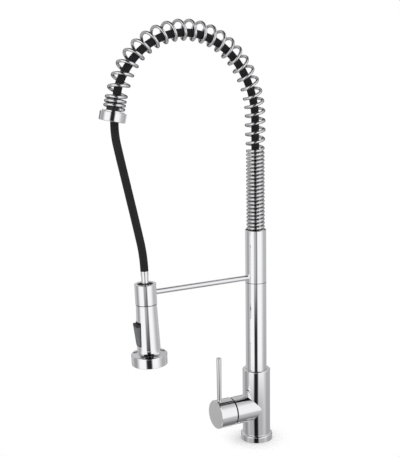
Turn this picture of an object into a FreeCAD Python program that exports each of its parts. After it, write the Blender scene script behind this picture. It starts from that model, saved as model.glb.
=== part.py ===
import FreeCAD, Part
import math
import os
import types
import Sketcher

# Pull-out kitchen mixer tap with a spring spout, in millimetres.
# +Z is up. The origin is on the deck, on the column's axis. Arm, valve and lever point along -Y.
# A "reach" is a distance from the column's axis along -Y.

SIZES = (
    # Clearances
    ("fit_gap", 0.1, "radial gap of pieces fixed in one another"),
    ("running_gap", 0.05, "radial gap of a turning fit"),
    ("slide_gap", 0.3, "gap between pieces that move past one another"),
    # Base and body
    ("body_diameter", 42.6, "mixer body"),
    ("body_height", 102.8, "mixer body above the flange"),
    ("body_round", 2.0, "rounded upper rim of the body"),
    ("flange_margin", 3.1, "base flange outside the body"),
    ("flange_height", 9.8, "base flange"),
    ("flange_round", 2.2, "rounded upper rim of the flange"),
    ("spigot_step", 4.3, "body's wall to its foot in the flange"),
    ("gasket_inset", 2.5, "gasket outside the body's foot"),
    ("gasket_width", 2.5, "gasket under the flange"),
    ("gasket_thick", 1.8, "gasket under the flange"),
    ("inlet_diameter", 9.0, "core hole of an M10 x 1 hose thread"),
    ("inlet_depth", 12.0, "hose thread"),
    ("inlet_spacing", 15.0, "hot to cold, at the inlets and the ports"),
    ("inlet_reach", 3.0, "inlets in front of the column's axis"),
    ("stud_diameter", 6.8, "core hole of an M8 stud"),
    ("stud_depth", 14.0, "stud thread"),
    ("stud_spacing", 23.0, "front stud to back stud"),
    ("passage_diameter", 5.2, "drilled water ways"),
    # Swivel
    ("column_diameter", 32.0, "riser and sleeve"),
    ("recess_depth", 3.0, "recess in the body's rim for the riser's foot"),
    ("recess_gap", 0.4, "riser to the recess's wall"),
    ("journal_step", 3.0, "column's wall to the journal in the bushes"),
    ("journal_lift", 0.8, "riser's end above the socket's floor"),
    ("bush_wall", 2.5, "swivel bushes with their gaps"),
    ("lower_bush_length", 5.5, "lower swivel bush"),
    ("upper_bush_length", 8.1, "upper swivel bush below its rim"),
    ("bush_rim", 1.5, "rim of the upper bush, under the riser's foot"),
    ("land_gap", 0.4, "lower bush to the seal land"),
    ("land_length", 11.5, "seal land"),
    ("seal_groove_inset", 2.0, "land's end to the first seal"),
    ("seal_groove_width", 2.6, "groove of a swivel seal"),
    ("seal_groove_spacing", 5.0, "one swivel seal to the other"),
    ("seal_depth", 2.3, "socket's wall to the seal grooves' floor"),
    ("keeper_width", 6.0, "groove for the swivel screw"),
    ("keeper_depth", 0.4, "groove for the swivel screw"),
    ("keeper_gap", 0.5, "groove to the upper bush"),
    ("swivel_screw_diameter", 5.0, "screw at the back of the body"),
    ("swivel_screw_inset", 0.9, "screw's end below the body's surface"),
    ("swivel_dog_diameter", 3.2, "screw's tip in the groove"),
    # Column
    ("column_bore", 16.0, "water way in the riser"),
    ("riser_length", 136.0, "body's top to the joint with the sleeve"),
    ("joint_ring_thick", 0.8, "ring at the joint of riser and sleeve"),
    ("joint_ring_inset", 0.35, "ring below the column's surface"),
    ("tenon_step", 3.5, "column's wall to the riser's tenon in the sleeve"),
    ("tenon_length", 13.0, "riser in the sleeve"),
    ("sleeve_height", 79.9, "upper sleeve"),
    ("sleeve_chamfer", 0.6, "sleeve's upper rim"),
    ("spring_pocket_depth", 10.0, "pocket in the sleeve for the spring's foot"),
    ("spring_pocket_gap", 1.2, "spring to the pocket's wall"),
    # Arm and holder
    ("arm_diameter", 8.0, "arm rod"),
    ("arm_rise", 8.2, "arm's axis above the column's joint"),
    ("arm_web", 0.4, "sleeve's wall left behind the arm"),
    ("reach", 184.7, "column's axis to the spray head's axis"),
    ("head_lean", 2.0, "holder and spray head lean in below the arm, in degrees"),
    ("holder_height", 29.1, "head holder"),
    ("holder_drop", 14.3, "arm's axis above the holder's lower rim"),
    ("holder_wall", 2.65, "head holder"),
    ("holder_web", 0.35, "holder's wall left behind the arm"),
    ("holder_lip", 4.0, "inward lip at the holder's top"),
    ("holder_round", 0.8, "holder's upper rims"),
    ("mouth_gap", 5.5, "ferrule to the lip"),
    ("liner_wall", 0.75, "liner in the holder"),
    ("neck_gap", 0.25, "head's neck to the liner"),
    # Valve
    ("valve_bore", 35.4, "cartridge bore"),
    ("valve_floor", 14.0, "reach of the cartridge bore's floor"),
    ("boss_wall", 3.3, "boss round the cartridge bore"),
    ("boss_drop", 5.1, "boss below the swivel socket's floor"),
    ("cartridge_base_thick", 4.5, "cartridge base"),
    ("port_drop", 5.0, "hot and cold ports below the valve's axis"),
    ("port_rise", 8.0, "outlet port above the valve's axis"),
    ("port_seal_width", 1.3, "port seals"),
    ("port_seal_thick", 1.6, "port seals"),
    ("fixed_disc_margin", 1.9, "housing to the fixed ceramic disc"),
    ("fixed_disc_thick", 3.0, "fixed ceramic disc"),
    ("moving_disc_step", 2.5, "fixed disc's rim to the moving disc's rim"),
    ("moving_disc_thick", 3.0, "moving ceramic disc"),
    ("mixing_rim", 3.5, "moving disc round its mixing pocket"),
    ("mixing_depth", 1.6, "mixing pocket in the moving disc"),
    ("carrier_thick", 7.5, "disc carrier"),
    ("carrier_floor", 1.0, "disc carrier under the stem's ball"),
    ("carrier_side_gap", 0.2, "stem to the carrier's slot, along X"),
    ("carrier_play", 0.1, "stem's ball to the carrier's slot"),
    ("rotor_rim_thick", 3.0, "rotor's rim"),
    ("rotor_neck_diameter", 19.0, "rotor's neck"),
    ("rotor_neck_length", 8.3, "rotor's neck"),
    ("rotor_play", 1.8, "room in which the stem tips"),
    ("housing_wall", 1.7, "cartridge housing"),
    ("housing_front", 3.2, "front wall of the cartridge housing"),
    ("nut_thick", 3.0, "cartridge nut"),
    ("nut_gap", 0.7, "rotor's neck to the cartridge nut"),
    ("dome_skirt", 2.45, "dome cover inside the boss"),
    ("dome_wall", 1.6, "dome cover"),
    ("dome_mouth", 20.0, "opening in the dome for the stem"),
    # Stem, cap and lever
    ("flow_angle", 16.0, "lever's tip from closed to open, in degrees"),
    ("pivot_lead", 0.15, "stem's pin in front of the cartridge housing"),
    ("stem_width", 7.0, "square stem"),
    ("stem_shoulder", 1.5, "stem's square to its neck"),
    ("stem_neck_end", 3.5, "stem's neck ends behind the pin by this"),
    ("stem_pin_diameter", 3.0, "stem's pin"),
    ("stem_seat", 7.4, "stem in the cap"),
    ("cap_gap", 2.6, "gap between boss and cap"),
    ("dome_gap", 1.0, "dome to the cap's wall"),
    ("cap_wall", 2.2, "handle cap"),
    ("cap_room", 1.2, "dome to the cap's floor"),
    ("cap_thick", 14.2, "cap's floor to its end face"),
    ("cap_chamfer", 0.7, "cap's end rim"),
    ("lever_inset", 6.7, "lever pin's axis behind the cap's end face"),
    ("lever_seat", 11.0, "lever pin in the cap"),
    ("lever_length", 67.0, "lever pin above the cap"),
    ("lever_diameter", 6.8, "lever pin at its foot"),
    ("lever_flare", 0.5, "lever pin's widening to its top"),
    ("lever_chamfer", 0.6, "lever pin's top"),
    ("set_screw_inset", 3.4, "set screw in front of the cap's floor"),
    ("set_screw_diameter", 4.0, "set screw"),
    ("set_screw_length", 7.0, "set screw"),
    ("plug_diameter", 6.0, "plug over the set screw"),
    ("plug_depth", 3.0, "plug in the cap"),
    ("plug_stand", 0.7, "plug's bump under the cap"),
    # Spring
    ("wire_diameter", 4.4, "spring wire"),
    ("spring_step", 2.3, "column's wall to the outside of the close turns"),
    ("spring_widening", 1.6, "close turns to open turns, outside"),
    ("widening_turns", 2, "turns over which the spring widens"),
    ("close_turns", 23, "turns above the sleeve"),
    ("close_gap", 1.1, "wire to wire in the close turns"),
    ("rise_turns", 6, "wider turns up to the arch"),
    ("rise_gap", 9.2, "wire to wire in the turns up to the arch"),
    ("open_turns", 19, "open turns over the arch"),
    ("end_turns", 3, "close turns at the collar"),
    ("spring_seat_gap", 0.5, "spring's ends to their seats"),
    ("spring_rise", 166.5, "arch starts this high above the sleeve"),
    ("arch_first_radius", 132.8, "rising part of the arch"),
    ("arch_first_angle", 51.2, "rising part of the arch, in degrees"),
    ("arch_second_radius", 106.7, "top and falling part of the arch"),
    ("arch_second_angle", 116.8, "top and falling part of the arch, in degrees"),
    # Collar at the spring's end
    ("collar_seat", 22.6, "collar's upper face past the arch's end"),
    ("collar_neck_step", 0.4, "collar's neck outside the spring"),
    ("collar_neck_height", 1.8, "stepped neck of the collar"),
    ("collar_step", 3.1, "collar outside the spring"),
    ("collar_height", 12.6, "collar below its neck"),
    ("collar_wall", 4.0, "collar round its open mouth"),
    ("collar_round", 0.8, "collar's rims"),
    ("guide_gap", 0.5, "spring to the guide bush"),
    ("guide_wall", 1.2, "guide bush inside the spring"),
    ("guide_rise", 17.0, "guide bush above the collar"),
    ("guide_rim_height", 3.0, "rim of the guide bush in the collar"),
    # Hose
    ("hose_diameter", 11.5, "hose"),
    ("hose_wall", 2.15, "hose"),
    ("hose_sag", 4.0, "hose's arch below the spring's arch"),
    ("hose_exit_radius", 206.0, "hose's bend in the collar"),
    ("hose_exit_angle", 6.4, "hose's bend in the collar, in degrees"),
    ("hose_first_run", 21.9, "free hose straight on from the hose in the spring"),
    ("hose_last_run", 22.0, "free hose straight above its ferrule"),
    ("barb_wall", 1.1, "nipples in the hose's ends"),
    ("tail_thread_diameter", 15.6, "hose tail in the sleeve"),
    ("tail_thread_length", 12.0, "hose tail in the sleeve"),
    ("tail_gap", 1.2, "spring to the corners of the hose tail's hexagon"),
    ("tail_hex_height", 5.0, "hose tail's hexagon"),
    ("tail_barb_length", 20.0, "hose tail in the hose"),
    # Hose end
    ("ferrule_step", 0.9, "shank to the ferrule's wall"),
    ("ferrule_length", 22.9, "hose ferrule"),
    ("ferrule_gap", 2.0, "ferrule above the head nut"),
    ("ferrule_bead", 0.5, "beads round the ferrule"),
    ("ferrule_barb_length", 12.0, "ferrule in the hose"),
    ("shank_diameter", 8.8, "ferrule's shank in the head nut"),
    ("shank_foot_diameter", 13.6, "foot of the ferrule's shank"),
    ("shank_foot_height", 3.5, "foot of the ferrule's shank"),
    ("washer_thick", 2.0, "hose washer"),
    # Spray head
    ("head_length", 89.9, "head shell"),
    ("shell_bore", 26.0, "head shell's inside"),
    ("shell_wall", 2.2, "head shell at its top"),
    ("shell_roof", 3.6, "head shell's top plate"),
    ("seam_height", 0.9, "shadow line between holder and head shell"),
    ("seam_depth", 0.7, "shadow line between holder and head shell"),
    ("head_taper", 1.8, "widening of the head shell down to its waist"),
    ("sweep_height", 9.3, "flare's shoulder to the waist"),
    ("sweep_radius", 8.9, "hollow sweep from waist to flare"),
    ("flare_step", 9.2, "waist to the flare's wall"),
    ("flare_height", 15.9, "flare round the spray face"),
    ("flare_round", 1.8, "flare's shoulder"),
    ("flare_chamfer", 0.8, "flare's lower rim"),
    ("flare_wall", 2.7, "flare round the spray chamber"),
    ("chamber_depth", 11.7, "spray chamber"),
    ("neck_step", 0.7, "core's wall to its neck"),
    ("neck_clearance", 2.5, "neck's top to the holder's lip"),
    ("neck_wall", 2.5, "neck round the head nut"),
    ("nut_length", 12.0, "head nut"),
    ("core_water_way", 9.0, "water way in the core"),
    ("check_valve_length", 12.0, "check valve"),
    ("check_valve_drop", 4.6, "check valve below the hose washer's seat"),
    ("check_valve_bore", 4.0, "check valve"),
    ("spray_face_thick", 3.5, "spray face"),
    ("spray_face_inset", 0.7, "spray face inside the flare's rim"),
    ("nozzle_plate_thick", 2.0, "nozzle plate"),
    ("nozzle_diameter", 1.7, "spray nozzles"),
    ("nozzle_stand", 0.5, "nozzles out of the spray face"),
    ("inner_nozzles", 12, "nozzles in the inner ring"),
    ("inner_nozzle_inset", 5.0, "inner ring outside the aerator"),
    ("outer_nozzles", 20, "nozzles in the outer ring"),
    ("outer_nozzle_inset", 3.8, "outer ring inside the spray face's rim"),
    ("aerator_diameter", 18.0, "aerator"),
    ("aerator_wall", 1.6, "aerator"),
    ("aerator_recess", 2.5, "aerator's mouth"),
    # Trigger
    ("window_width", 14.0, "trigger's opening"),
    ("window_rise", 30.2, "trigger's opening above the flare's rim"),
    ("window_height", 34.1, "trigger's opening"),
    ("bezel_wall", 0.7, "bezel round the trigger"),
    ("bezel_stand", 0.35, "bezel out of the shell"),
    ("trigger_side_gap", 0.4, "trigger to the sides of its opening"),
    ("trigger_foot_gap", 0.6, "trigger to the lower end of its opening"),
    ("trigger_top_gap", 1.2, "trigger to the upper end of its opening"),
    ("trigger_back_gap", 0.2, "shell's inside to the trigger's back"),
    ("trigger_foot_stand", 0.1, "trigger's foot out of the waist"),
    ("trigger_top_stand", 3.4, "trigger's top out of the waist"),
    ("trigger_round", 1.6, "trigger's front edges"),
    ("trigger_lug", 1.8, "trigger's lug round its pin"),
    ("trigger_pin_inset", 4.4, "trigger's pin inside the core's wall"),
    ("trigger_pin_rise", 3.5, "trigger's pin above the trigger's foot"),
    ("trigger_pin_diameter", 2.0, "trigger's pin"),
    ("trigger_pin_seat", 1.3, "trigger's pin in the core"),
    ("pocket_gap", 0.6, "trigger's lug to the core"),
    ("diverter_rise", 23.5, "diverter pin above the trigger's pin"),
    ("diverter_diameter", 3.2, "diverter pin"),
    ("diverter_engage", 2.0, "diverter pin in the core"),
    ("diverter_rim_thick", 0.8, "diverter pin's rim"),
    ("diverter_tip_diameter", 2.4, "diverter pin's tip"),
    ("diverter_tip_length", 0.6, "diverter pin's tip"),
    ("return_wire", 0.4, "trigger's return spring"),
    ("return_gap", 0.6, "diverter pin to the return spring"),
    ("return_rim", 0.4, "diverter pin's rim outside the return spring"),
    ("return_turns", 3, "trigger's return spring"),
)

# The free hose's middle points: shares of its way across to the column left to go, and of its way down.
FREE_HOSE_SHARES = ((0.831, 0.278), (0.530, 0.504), (0.246, 0.720))

SMALL = 1e-4


class Size:
    """A number together with the sheet expression that gives it."""

    def __init__(self, value, text):
        self.value = float(value)
        self.text = text

    def __add__(self, other):
        other = as_size(other)
        return Size(self.value + other.value, f"({self.text} + {other.text})")

    def __sub__(self, other):
        other = as_size(other)
        return Size(self.value - other.value, f"({self.text} - {other.text})")

    def __mul__(self, other):
        other = as_size(other)
        return Size(self.value * other.value, f"({self.text} * {other.text})")

    def __truediv__(self, other):
        other = as_size(other)
        return Size(self.value / other.value, f"({self.text} / {other.text})")

    def __neg__(self):
        return as_size(0) - self


def as_size(number):
    return number if isinstance(number, Size) else Size(number, repr(float(number)))


def root(size):
    return Size(math.sqrt(size.value), f"sqrt({size.text})")


def sine(degrees):
    return Size(math.sin(math.radians(degrees.value)), f"sin({degrees.text})")


def cosine(degrees):
    return Size(math.cos(math.radians(degrees.value)), f"cos({degrees.text})")


doc = FreeCAD.newDocument("mixer_tap")


def fill_sheet():
    """Writes the sizes into the sheet and returns them, read back from it, by name."""
    sheet = doc.addObject("Spreadsheet::Sheet", "sizes")
    for row, (alias, number, note) in enumerate(SIZES, start=1):
        sheet.set(f"A{row}", alias)
        sheet.set(f"B{row}", str(number))
        sheet.set(f"C{row}", note)
        sheet.setAlias(f"B{row}", alias)
    doc.recompute()
    named = types.SimpleNamespace()
    for alias, number, note in SIZES:
        setattr(named, alias, Size(getattr(sheet, alias), f"sizes.{alias}"))
    return named


d = fill_sheet()
pieces = []


# Building blocks

def new_body(label):
    body = doc.addObject("PartDesign::Body", label)
    body.Label = label
    pieces.append(body)
    return body


def bind(target, path, size):
    target.setExpression(path, as_size(size).text)


def place(piece, y=0, z=0, tilt=0):
    """Puts a piece's origin at y and z, tilted about X by some degrees."""
    y, z, tilt = as_size(y), as_size(z), as_size(tilt)
    turn = FreeCAD.Rotation(FreeCAD.Vector(1, 0, 0), tilt.value)
    piece.Placement = FreeCAD.Placement(FreeCAD.Vector(0, y.value, z.value), turn)
    bind(piece, "Placement.Base.y", y)
    bind(piece, "Placement.Base.z", z)
    piece.setExpression("Placement.Rotation.Angle", f"{tilt.text} * 1 deg")


def new_sketch(body, plane_role, offset=0):
    plane = next(item for item in body.Origin.OriginFeatures if item.Role == plane_role)
    sketch = body.newObject("Sketcher::SketchObject", "Sketch")
    sketch.AttachmentSupport = [(plane, "")]
    sketch.MapMode = "FlatFace"
    bind(sketch, "AttachmentOffset.Base.z", offset)
    return sketch


def fix_point(sketch, curve, end, x, y):
    for kind, size in (("DistanceX", as_size(x)), ("DistanceY", as_size(y))):
        number = sketch.addConstraint(Sketcher.Constraint(kind, -1, 1, curve, end, size.value))
        bind(sketch, f"Constraints[{number}]", size)


def fix_radius(sketch, curve, radius):
    number = sketch.addConstraint(Sketcher.Constraint("Radius", curve, radius.value))
    bind(sketch, f"Constraints[{number}]", radius)


def arc_between(start, end, radius, side):
    """An arc from start to end whose centre lies to the left (side 1) or right (side -1) of the way."""
    along = end - start
    half = along.Length / 2
    across = FreeCAD.Vector(-along.y, along.x, 0).normalize() * side
    centre = (start + end) * 0.5 + across * math.sqrt(max(radius ** 2 - half ** 2, 0))
    return Part.Arc(start, centre - across * radius, end)


def draw_outline(sketch, points):
    """Joins points with lines, or with an arc where a point also holds a radius and a side."""
    corners = []
    for point in points:
        corners.append(FreeCAD.Vector(as_size(point[0]).value, as_size(point[1]).value, 0))
    first = sketch.GeometryCount
    ends = []
    for index, point in enumerate(points):
        start, end = corners[index], corners[(index + 1) % len(points)]
        if len(point) == 2:
            sketch.addGeometry(Part.LineSegment(start, end))
            ends.append((1, 2))
        else:
            sketch.addGeometry(arc_between(start, end, point[2].value, point[3]))
            ends.append((1, 2) if point[3] > 0 else (2, 1))
    for index, point in enumerate(points):
        after = (index + 1) % len(points)
        curve = first + index
        meeting = (curve, ends[index][1], first + after, ends[after][0])
        sketch.addConstraint(Sketcher.Constraint("Coincident", *meeting))
        fix_point(sketch, curve, ends[index][0], point[0], point[1])
        if len(point) > 2:
            fix_radius(sketch, curve, point[2])


def draw_circle(sketch, x, y, diameter):
    radius = as_size(diameter) / 2
    centre = FreeCAD.Vector(as_size(x).value, as_size(y).value, 0)
    curve = sketch.addGeometry(Part.Circle(centre, FreeCAD.Vector(0, 0, 1), radius.value))
    fix_point(sketch, curve, 3, x, y)
    fix_radius(sketch, curve, radius)


def draw_hexagon(sketch, across_corners):
    points = []
    for index in range(6):
        angle = math.radians(60 * index)
        points.append((across_corners * (math.cos(angle) / 2), across_corners * (math.sin(angle) / 2)))
    draw_outline(sketch, points)


def box_outline(width, low, high):
    half = width / 2
    return ((-half, low), (half, low), (half, high), (-half, high))


def turned(body, *outlines):
    """Turns outlines of radius and height about the body's Z axis."""
    sketch = new_sketch(body, "XZ_Plane")
    for outline in outlines:
        draw_outline(sketch, outline)
    turn = body.newObject("PartDesign::Revolution", "Turned")
    turn.Profile = sketch
    turn.ReferenceAxis = (sketch, ["V_Axis"])
    turn.Angle = 360
    doc.recompute()


def ring_outline(outer, inner, low, high):
    outer, inner = as_size(outer) / 2, as_size(inner) / 2
    return ((inner, low), (outer, low), (outer, high), (inner, high))


def tube(body, outer, inner, low, high):
    """A turned ring, or a disc, of two diameters between two heights."""
    turned(body, ring_outline(outer, inner, low, high))


def pad(body, sketch, length, symmetric=False, back=False):
    feature = body.newObject("PartDesign::Pad", "Pad")
    feature.Profile = sketch
    feature.Midplane = symmetric
    feature.Reversed = back
    bind(feature, "Length", length)
    doc.recompute()
    return feature


def pocket(body, sketch, length, symmetric=False, back=False):
    """Cuts a sketch into its body, and stops the build where it cuts nothing."""
    before = body.Shape.Volume
    feature = body.newObject("PartDesign::Pocket", "Pocket")
    feature.Profile = sketch
    feature.Midplane = symmetric
    feature.Reversed = back
    bind(feature, "Length", length)
    doc.recompute()
    if body.Shape.Volume > before - SMALL:
        raise RuntimeError(f"a pocket of {body.Label} cuts nothing")
    return feature


def drill(body, plane_role, offset, spots, diameter, depth, back=False):
    sketch = new_sketch(body, plane_role, offset)
    for x, y in spots:
        draw_circle(sketch, x, y, diameter)
    return pocket(body, sketch, depth, back=back)


def ring_around(body, feature, count):
    """Repeats a feature round the body's Z axis."""
    axis = next(item for item in body.Origin.OriginFeatures if item.Role == "Z_Axis")
    pattern = body.newObject("PartDesign::PolarPattern", "Ring")
    pattern.Originals = [feature]
    pattern.Axis = (axis, [""])
    pattern.Angle = 360
    bind(pattern, "Occurrences", count)
    body.Tip = pattern
    doc.recompute()


def rim_names(shape, rims):
    names = []
    for number, edge in enumerate(shape.Edges, start=1):
        curve = edge.Curve
        if not isinstance(curve, Part.Circle):
            continue
        for diameter, height in rims:
            same_radius = abs(curve.Radius - diameter.value / 2) < SMALL
            if same_radius and abs(curve.Center.z - height.value) < SMALL:
                names.append(f"Edge{number}")
    return names


def dress_rims(body, kind, size, rims):
    """Rounds (Fillet) or breaks (Chamfer) circular rims given by diameter and height."""
    feature = body.Tip
    dress = body.newObject(f"PartDesign::{kind}", kind)
    dress.Base = (feature, rim_names(feature.Shape, rims))
    bind(dress, "Radius" if kind == "Fillet" else "Size", size)
    doc.recompute()


def hexagon_recess(body, top, across):
    """A hexagon key's recess in a screw's end, as deep as half its width."""
    sketch = new_sketch(body, "XY_Plane", top)
    draw_hexagon(sketch, across)
    pocket(body, sketch, across / 2)


# Base and body

SPIGOT = d.body_diameter - d.spigot_step * 2
FLANGE = d.body_diameter + d.flange_margin * 2
GASKET_INNER = SPIGOT + d.gasket_inset * 2
GASKET_OUTER = GASKET_INNER + d.gasket_width * 2
JOURNAL = d.column_diameter - d.journal_step * 2
SOCKET = JOURNAL + d.bush_wall * 2
BODY_TOP = d.flange_height + d.body_height
RECESS_FLOOR = BODY_TOP - d.recess_depth
BUSH_RIM_TOP = RECESS_FLOOR + d.bush_rim
UPPER_BUSH_LOW = RECESS_FLOOR - d.upper_bush_length
KEEPER_TOP = UPPER_BUSH_LOW - d.keeper_gap
LAND_TOP = KEEPER_TOP - d.keeper_width
LAND_LOW = LAND_TOP - d.land_length
SOCKET_FLOOR = LAND_LOW - d.land_gap - d.lower_bush_length
KEEPER_HEIGHT = KEEPER_TOP - d.keeper_width / 2
KEEPER_FLOOR = JOURNAL - d.keeper_depth * 2
SEAL_FLOOR = SOCKET - d.seal_depth * 2
SEAL_LOWS = (LAND_LOW + d.seal_groove_inset, LAND_LOW + d.seal_groove_inset + d.seal_groove_spacing)
BOSS = d.valve_bore + d.boss_wall * 2
VALVE_HEIGHT = SOCKET_FLOOR - d.boss_drop - BOSS / 2


def base_flange():
    body = new_body("base_flange")
    hole, rim = SPIGOT / 2 + d.fit_gap, FLANGE / 2
    inner, outer = GASKET_INNER / 2, GASKET_OUTER / 2
    turned(body, (
        (hole, 0), (inner, 0), (inner, d.gasket_thick), (outer, d.gasket_thick), (outer, 0), (rim, 0),
        (rim, d.flange_height), (hole, d.flange_height)))
    dress_rims(body, "Fillet", d.flange_round, ((FLANGE, d.flange_height),))


def base_gasket():
    body = new_body("base_gasket")
    tube(body, GASKET_OUTER - d.fit_gap * 2, GASKET_INNER + d.fit_gap * 2, 0, d.gasket_thick)


def inlet_spots():
    side = d.inlet_spacing / 2
    return ((side, -d.inlet_reach), (-side, -d.inlet_reach))


def port_spots():
    side = d.inlet_spacing / 2
    return ((side, -d.port_drop), (-side, -d.port_drop), (0, d.port_rise))


def mixer_body():
    body = new_body("mixer_body")
    foot, wall = SPIGOT / 2, d.body_diameter / 2
    recess, socket = d.column_diameter / 2 + d.recess_gap, SOCKET / 2
    turned(body, (
        (0, 0), (foot, 0), (foot, d.flange_height), (wall, d.flange_height), (wall, BODY_TOP),
        (recess, BODY_TOP), (recess, RECESS_FLOOR), (socket, RECESS_FLOOR), (socket, SOCKET_FLOOR),
        (0, SOCKET_FLOOR)))
    dress_rims(body, "Fillet", d.body_round, ((d.body_diameter, BODY_TOP),))
    boss = new_sketch(body, "XZ_Plane")
    draw_circle(boss, 0, VALVE_HEIGHT, BOSS)
    pad(body, boss, BOSS_REACH)
    drill(body, "XZ_Plane", BOSS_REACH, ((0, VALVE_HEIGHT),), d.valve_bore, BOSS_REACH - d.valve_floor)
    water_ways(body)
    deck_holes(body)
    screw_hole = d.swivel_screw_diameter + d.fit_gap * 2
    drill(body, "XZ_Plane", 0, ((0, KEEPER_HEIGHT),), screw_hole, d.body_diameter)


def water_ways(body):
    """Ports behind the cartridge, and the drillings that join them to the inlets and the riser."""
    depth = d.valve_floor - d.inlet_reach
    spots = tuple((x, VALVE_HEIGHT + y) for x, y in port_spots())
    drill(body, "XZ_Plane", d.valve_floor, spots, d.passage_diameter, depth)
    port_height = VALVE_HEIGHT - d.port_drop
    drill(body, "XY_Plane", port_height, inlet_spots(), d.passage_diameter, port_height)
    rise = SOCKET_FLOOR - VALVE_HEIGHT - d.port_rise
    drill(body, "XY_Plane", SOCKET_FLOOR, ((0, -d.inlet_reach),), d.passage_diameter, rise)


def deck_holes(body):
    drill(body, "XY_Plane", 0, inlet_spots(), d.inlet_diameter, d.inlet_depth, back=True)
    studs = ((0, d.stud_spacing / 2), (0, -(d.stud_spacing / 2)))
    drill(body, "XY_Plane", 0, studs, d.stud_diameter, d.stud_depth, back=True)


# Swivel

def lower_swivel_bush():
    body = new_body("lower_swivel_bush")
    outer, bore = SOCKET - d.fit_gap * 2, JOURNAL + d.running_gap * 2
    tube(body, outer, bore, SOCKET_FLOOR, SOCKET_FLOOR + d.lower_bush_length)


def upper_swivel_bush():
    body = new_body("upper_swivel_bush")
    wall, bore = SOCKET / 2 - d.fit_gap, JOURNAL / 2 + d.running_gap
    rim = d.column_diameter / 2
    turned(body, (
        (bore, UPPER_BUSH_LOW), (wall, UPPER_BUSH_LOW), (wall, RECESS_FLOOR), (rim, RECESS_FLOOR),
        (rim, BUSH_RIM_TOP), (bore, BUSH_RIM_TOP)))


def swivel_seals():
    body = new_body("swivel_seals")
    outer, inner = SOCKET - d.fit_gap * 2, SEAL_FLOOR + d.fit_gap * 2
    rings = []
    for low in SEAL_LOWS:
        high = low + d.seal_groove_width
        rings.append(ring_outline(outer, inner, low + d.fit_gap, high - d.fit_gap))
    turned(body, *rings)


def swivel_screw():
    """A grub screw whose tip runs in the riser's groove and keeps the riser from lifting out."""
    body = new_body("swivel_screw")
    tip, shoulder = KEEPER_FLOOR / 2 + d.slide_gap, SOCKET / 2
    end = d.body_diameter / 2 - d.swivel_screw_inset
    dog, screw = d.swivel_dog_diameter / 2, d.swivel_screw_diameter / 2
    turned(body, ((0, tip), (dog, tip), (dog, shoulder), (screw, shoulder), (screw, end), (0, end)))
    hexagon_recess(body, end, screw)
    place(body, z=KEEPER_HEIGHT, tilt=-90)


# Column

JOINT = BODY_TOP + d.riser_length
TENON = d.column_diameter - d.tenon_step * 2
TENON_TOP = JOINT + d.tenon_length
SLEEVE_LOW = JOINT + d.joint_ring_thick
SLEEVE_TOP = SLEEVE_LOW + d.sleeve_height
POCKET_FLOOR = SLEEVE_TOP - d.spring_pocket_depth
CLOSE_TURN = d.column_diameter - d.spring_step * 2
OPEN_TURN = CLOSE_TURN + d.spring_widening * 2
ARM_HEIGHT = JOINT + d.arm_rise


def riser_tube():
    body = new_body("riser_tube")
    journal, land, keeper = JOURNAL / 2, SOCKET / 2 - d.slide_gap, KEEPER_FLOOR / 2
    column, tenon, bore = d.column_diameter / 2, TENON / 2, d.column_bore / 2
    groove = SEAL_FLOOR / 2
    foot = SOCKET_FLOOR + d.journal_lift
    shoulder = BUSH_RIM_TOP + d.running_gap
    outline = [(bore, foot), (journal, foot), (journal, LAND_LOW), (land, LAND_LOW)]
    for low in SEAL_LOWS:
        high = low + d.seal_groove_width
        outline += [(land, low), (groove, low), (groove, high), (land, high)]
    outline += [
        (land, LAND_TOP), (keeper, LAND_TOP), (keeper, KEEPER_TOP), (journal, KEEPER_TOP),
        (journal, shoulder), (column, shoulder), (column, JOINT), (tenon, JOINT),
        (tenon, TENON_TOP), (bore, TENON_TOP)]
    turned(body, outline)


def joint_ring():
    body = new_body("joint_ring")
    tube(body, d.column_diameter - d.joint_ring_inset * 2, TENON + d.fit_gap * 2, JOINT, SLEEVE_LOW)


def upper_sleeve():
    body = new_body("upper_sleeve")
    column, tenon = d.column_diameter / 2, TENON / 2 + d.fit_gap
    pocket_wall, bore = CLOSE_TURN / 2 + d.spring_pocket_gap, d.tail_thread_diameter / 2 + d.fit_gap
    tenon_roof = TENON_TOP + d.slide_gap
    turned(body, (
        (tenon, SLEEVE_LOW), (column, SLEEVE_LOW), (column, SLEEVE_TOP), (pocket_wall, SLEEVE_TOP),
        (pocket_wall, POCKET_FLOOR), (bore, POCKET_FLOOR), (bore, tenon_roof), (tenon, tenon_roof)))
    dress_rims(body, "Chamfer", d.sleeve_chamfer, ((d.column_diameter, SLEEVE_TOP),))
    hole = d.arm_diameter + d.fit_gap * 2
    drill(body, "XZ_Plane", ARM_START, ((0, ARM_HEIGHT),), hole, d.column_diameter, back=True)


# Arm and holder

CORE = d.shell_bore - d.slide_gap * 2
NECK = CORE - d.neck_step * 2
LINER_BORE = NECK + d.neck_gap * 2
LINER = LINER_BORE + d.liner_wall * 2
HOLDER_BORE = LINER + d.fit_gap * 2
HOLDER = HOLDER_BORE + d.holder_wall * 2
HOLDER_LOW = ARM_HEIGHT - d.holder_drop
HOLDER_TOP = HOLDER_LOW + d.holder_height
LIP_LOW = HOLDER_TOP - d.holder_lip
FERRULE = d.shank_diameter + d.ferrule_step * 2
MOUTH = FERRULE + (d.ferrule_bead + d.mouth_gap) * 2
ARM_START = TENON / 2 + d.fit_gap + d.arm_web
ARM_SEAT = HOLDER_BORE / 2 + d.holder_web


ARM_GRIP = (HOLDER / 2 + ARM_SEAT) / 2


def place_on_head(piece, height=0, tilt=0):
    """Puts a piece on the head's axis, which leans about the arm's end in the holder's wall."""
    lean, rise = d.head_lean, ARM_HEIGHT - height
    y = ARM_GRIP - d.reach - ARM_GRIP * cosine(lean) + rise * sine(lean)
    z = ARM_HEIGHT - ARM_GRIP * sine(lean) - rise * cosine(lean)
    place(piece, y=y, z=z, tilt=lean + tilt)


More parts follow.
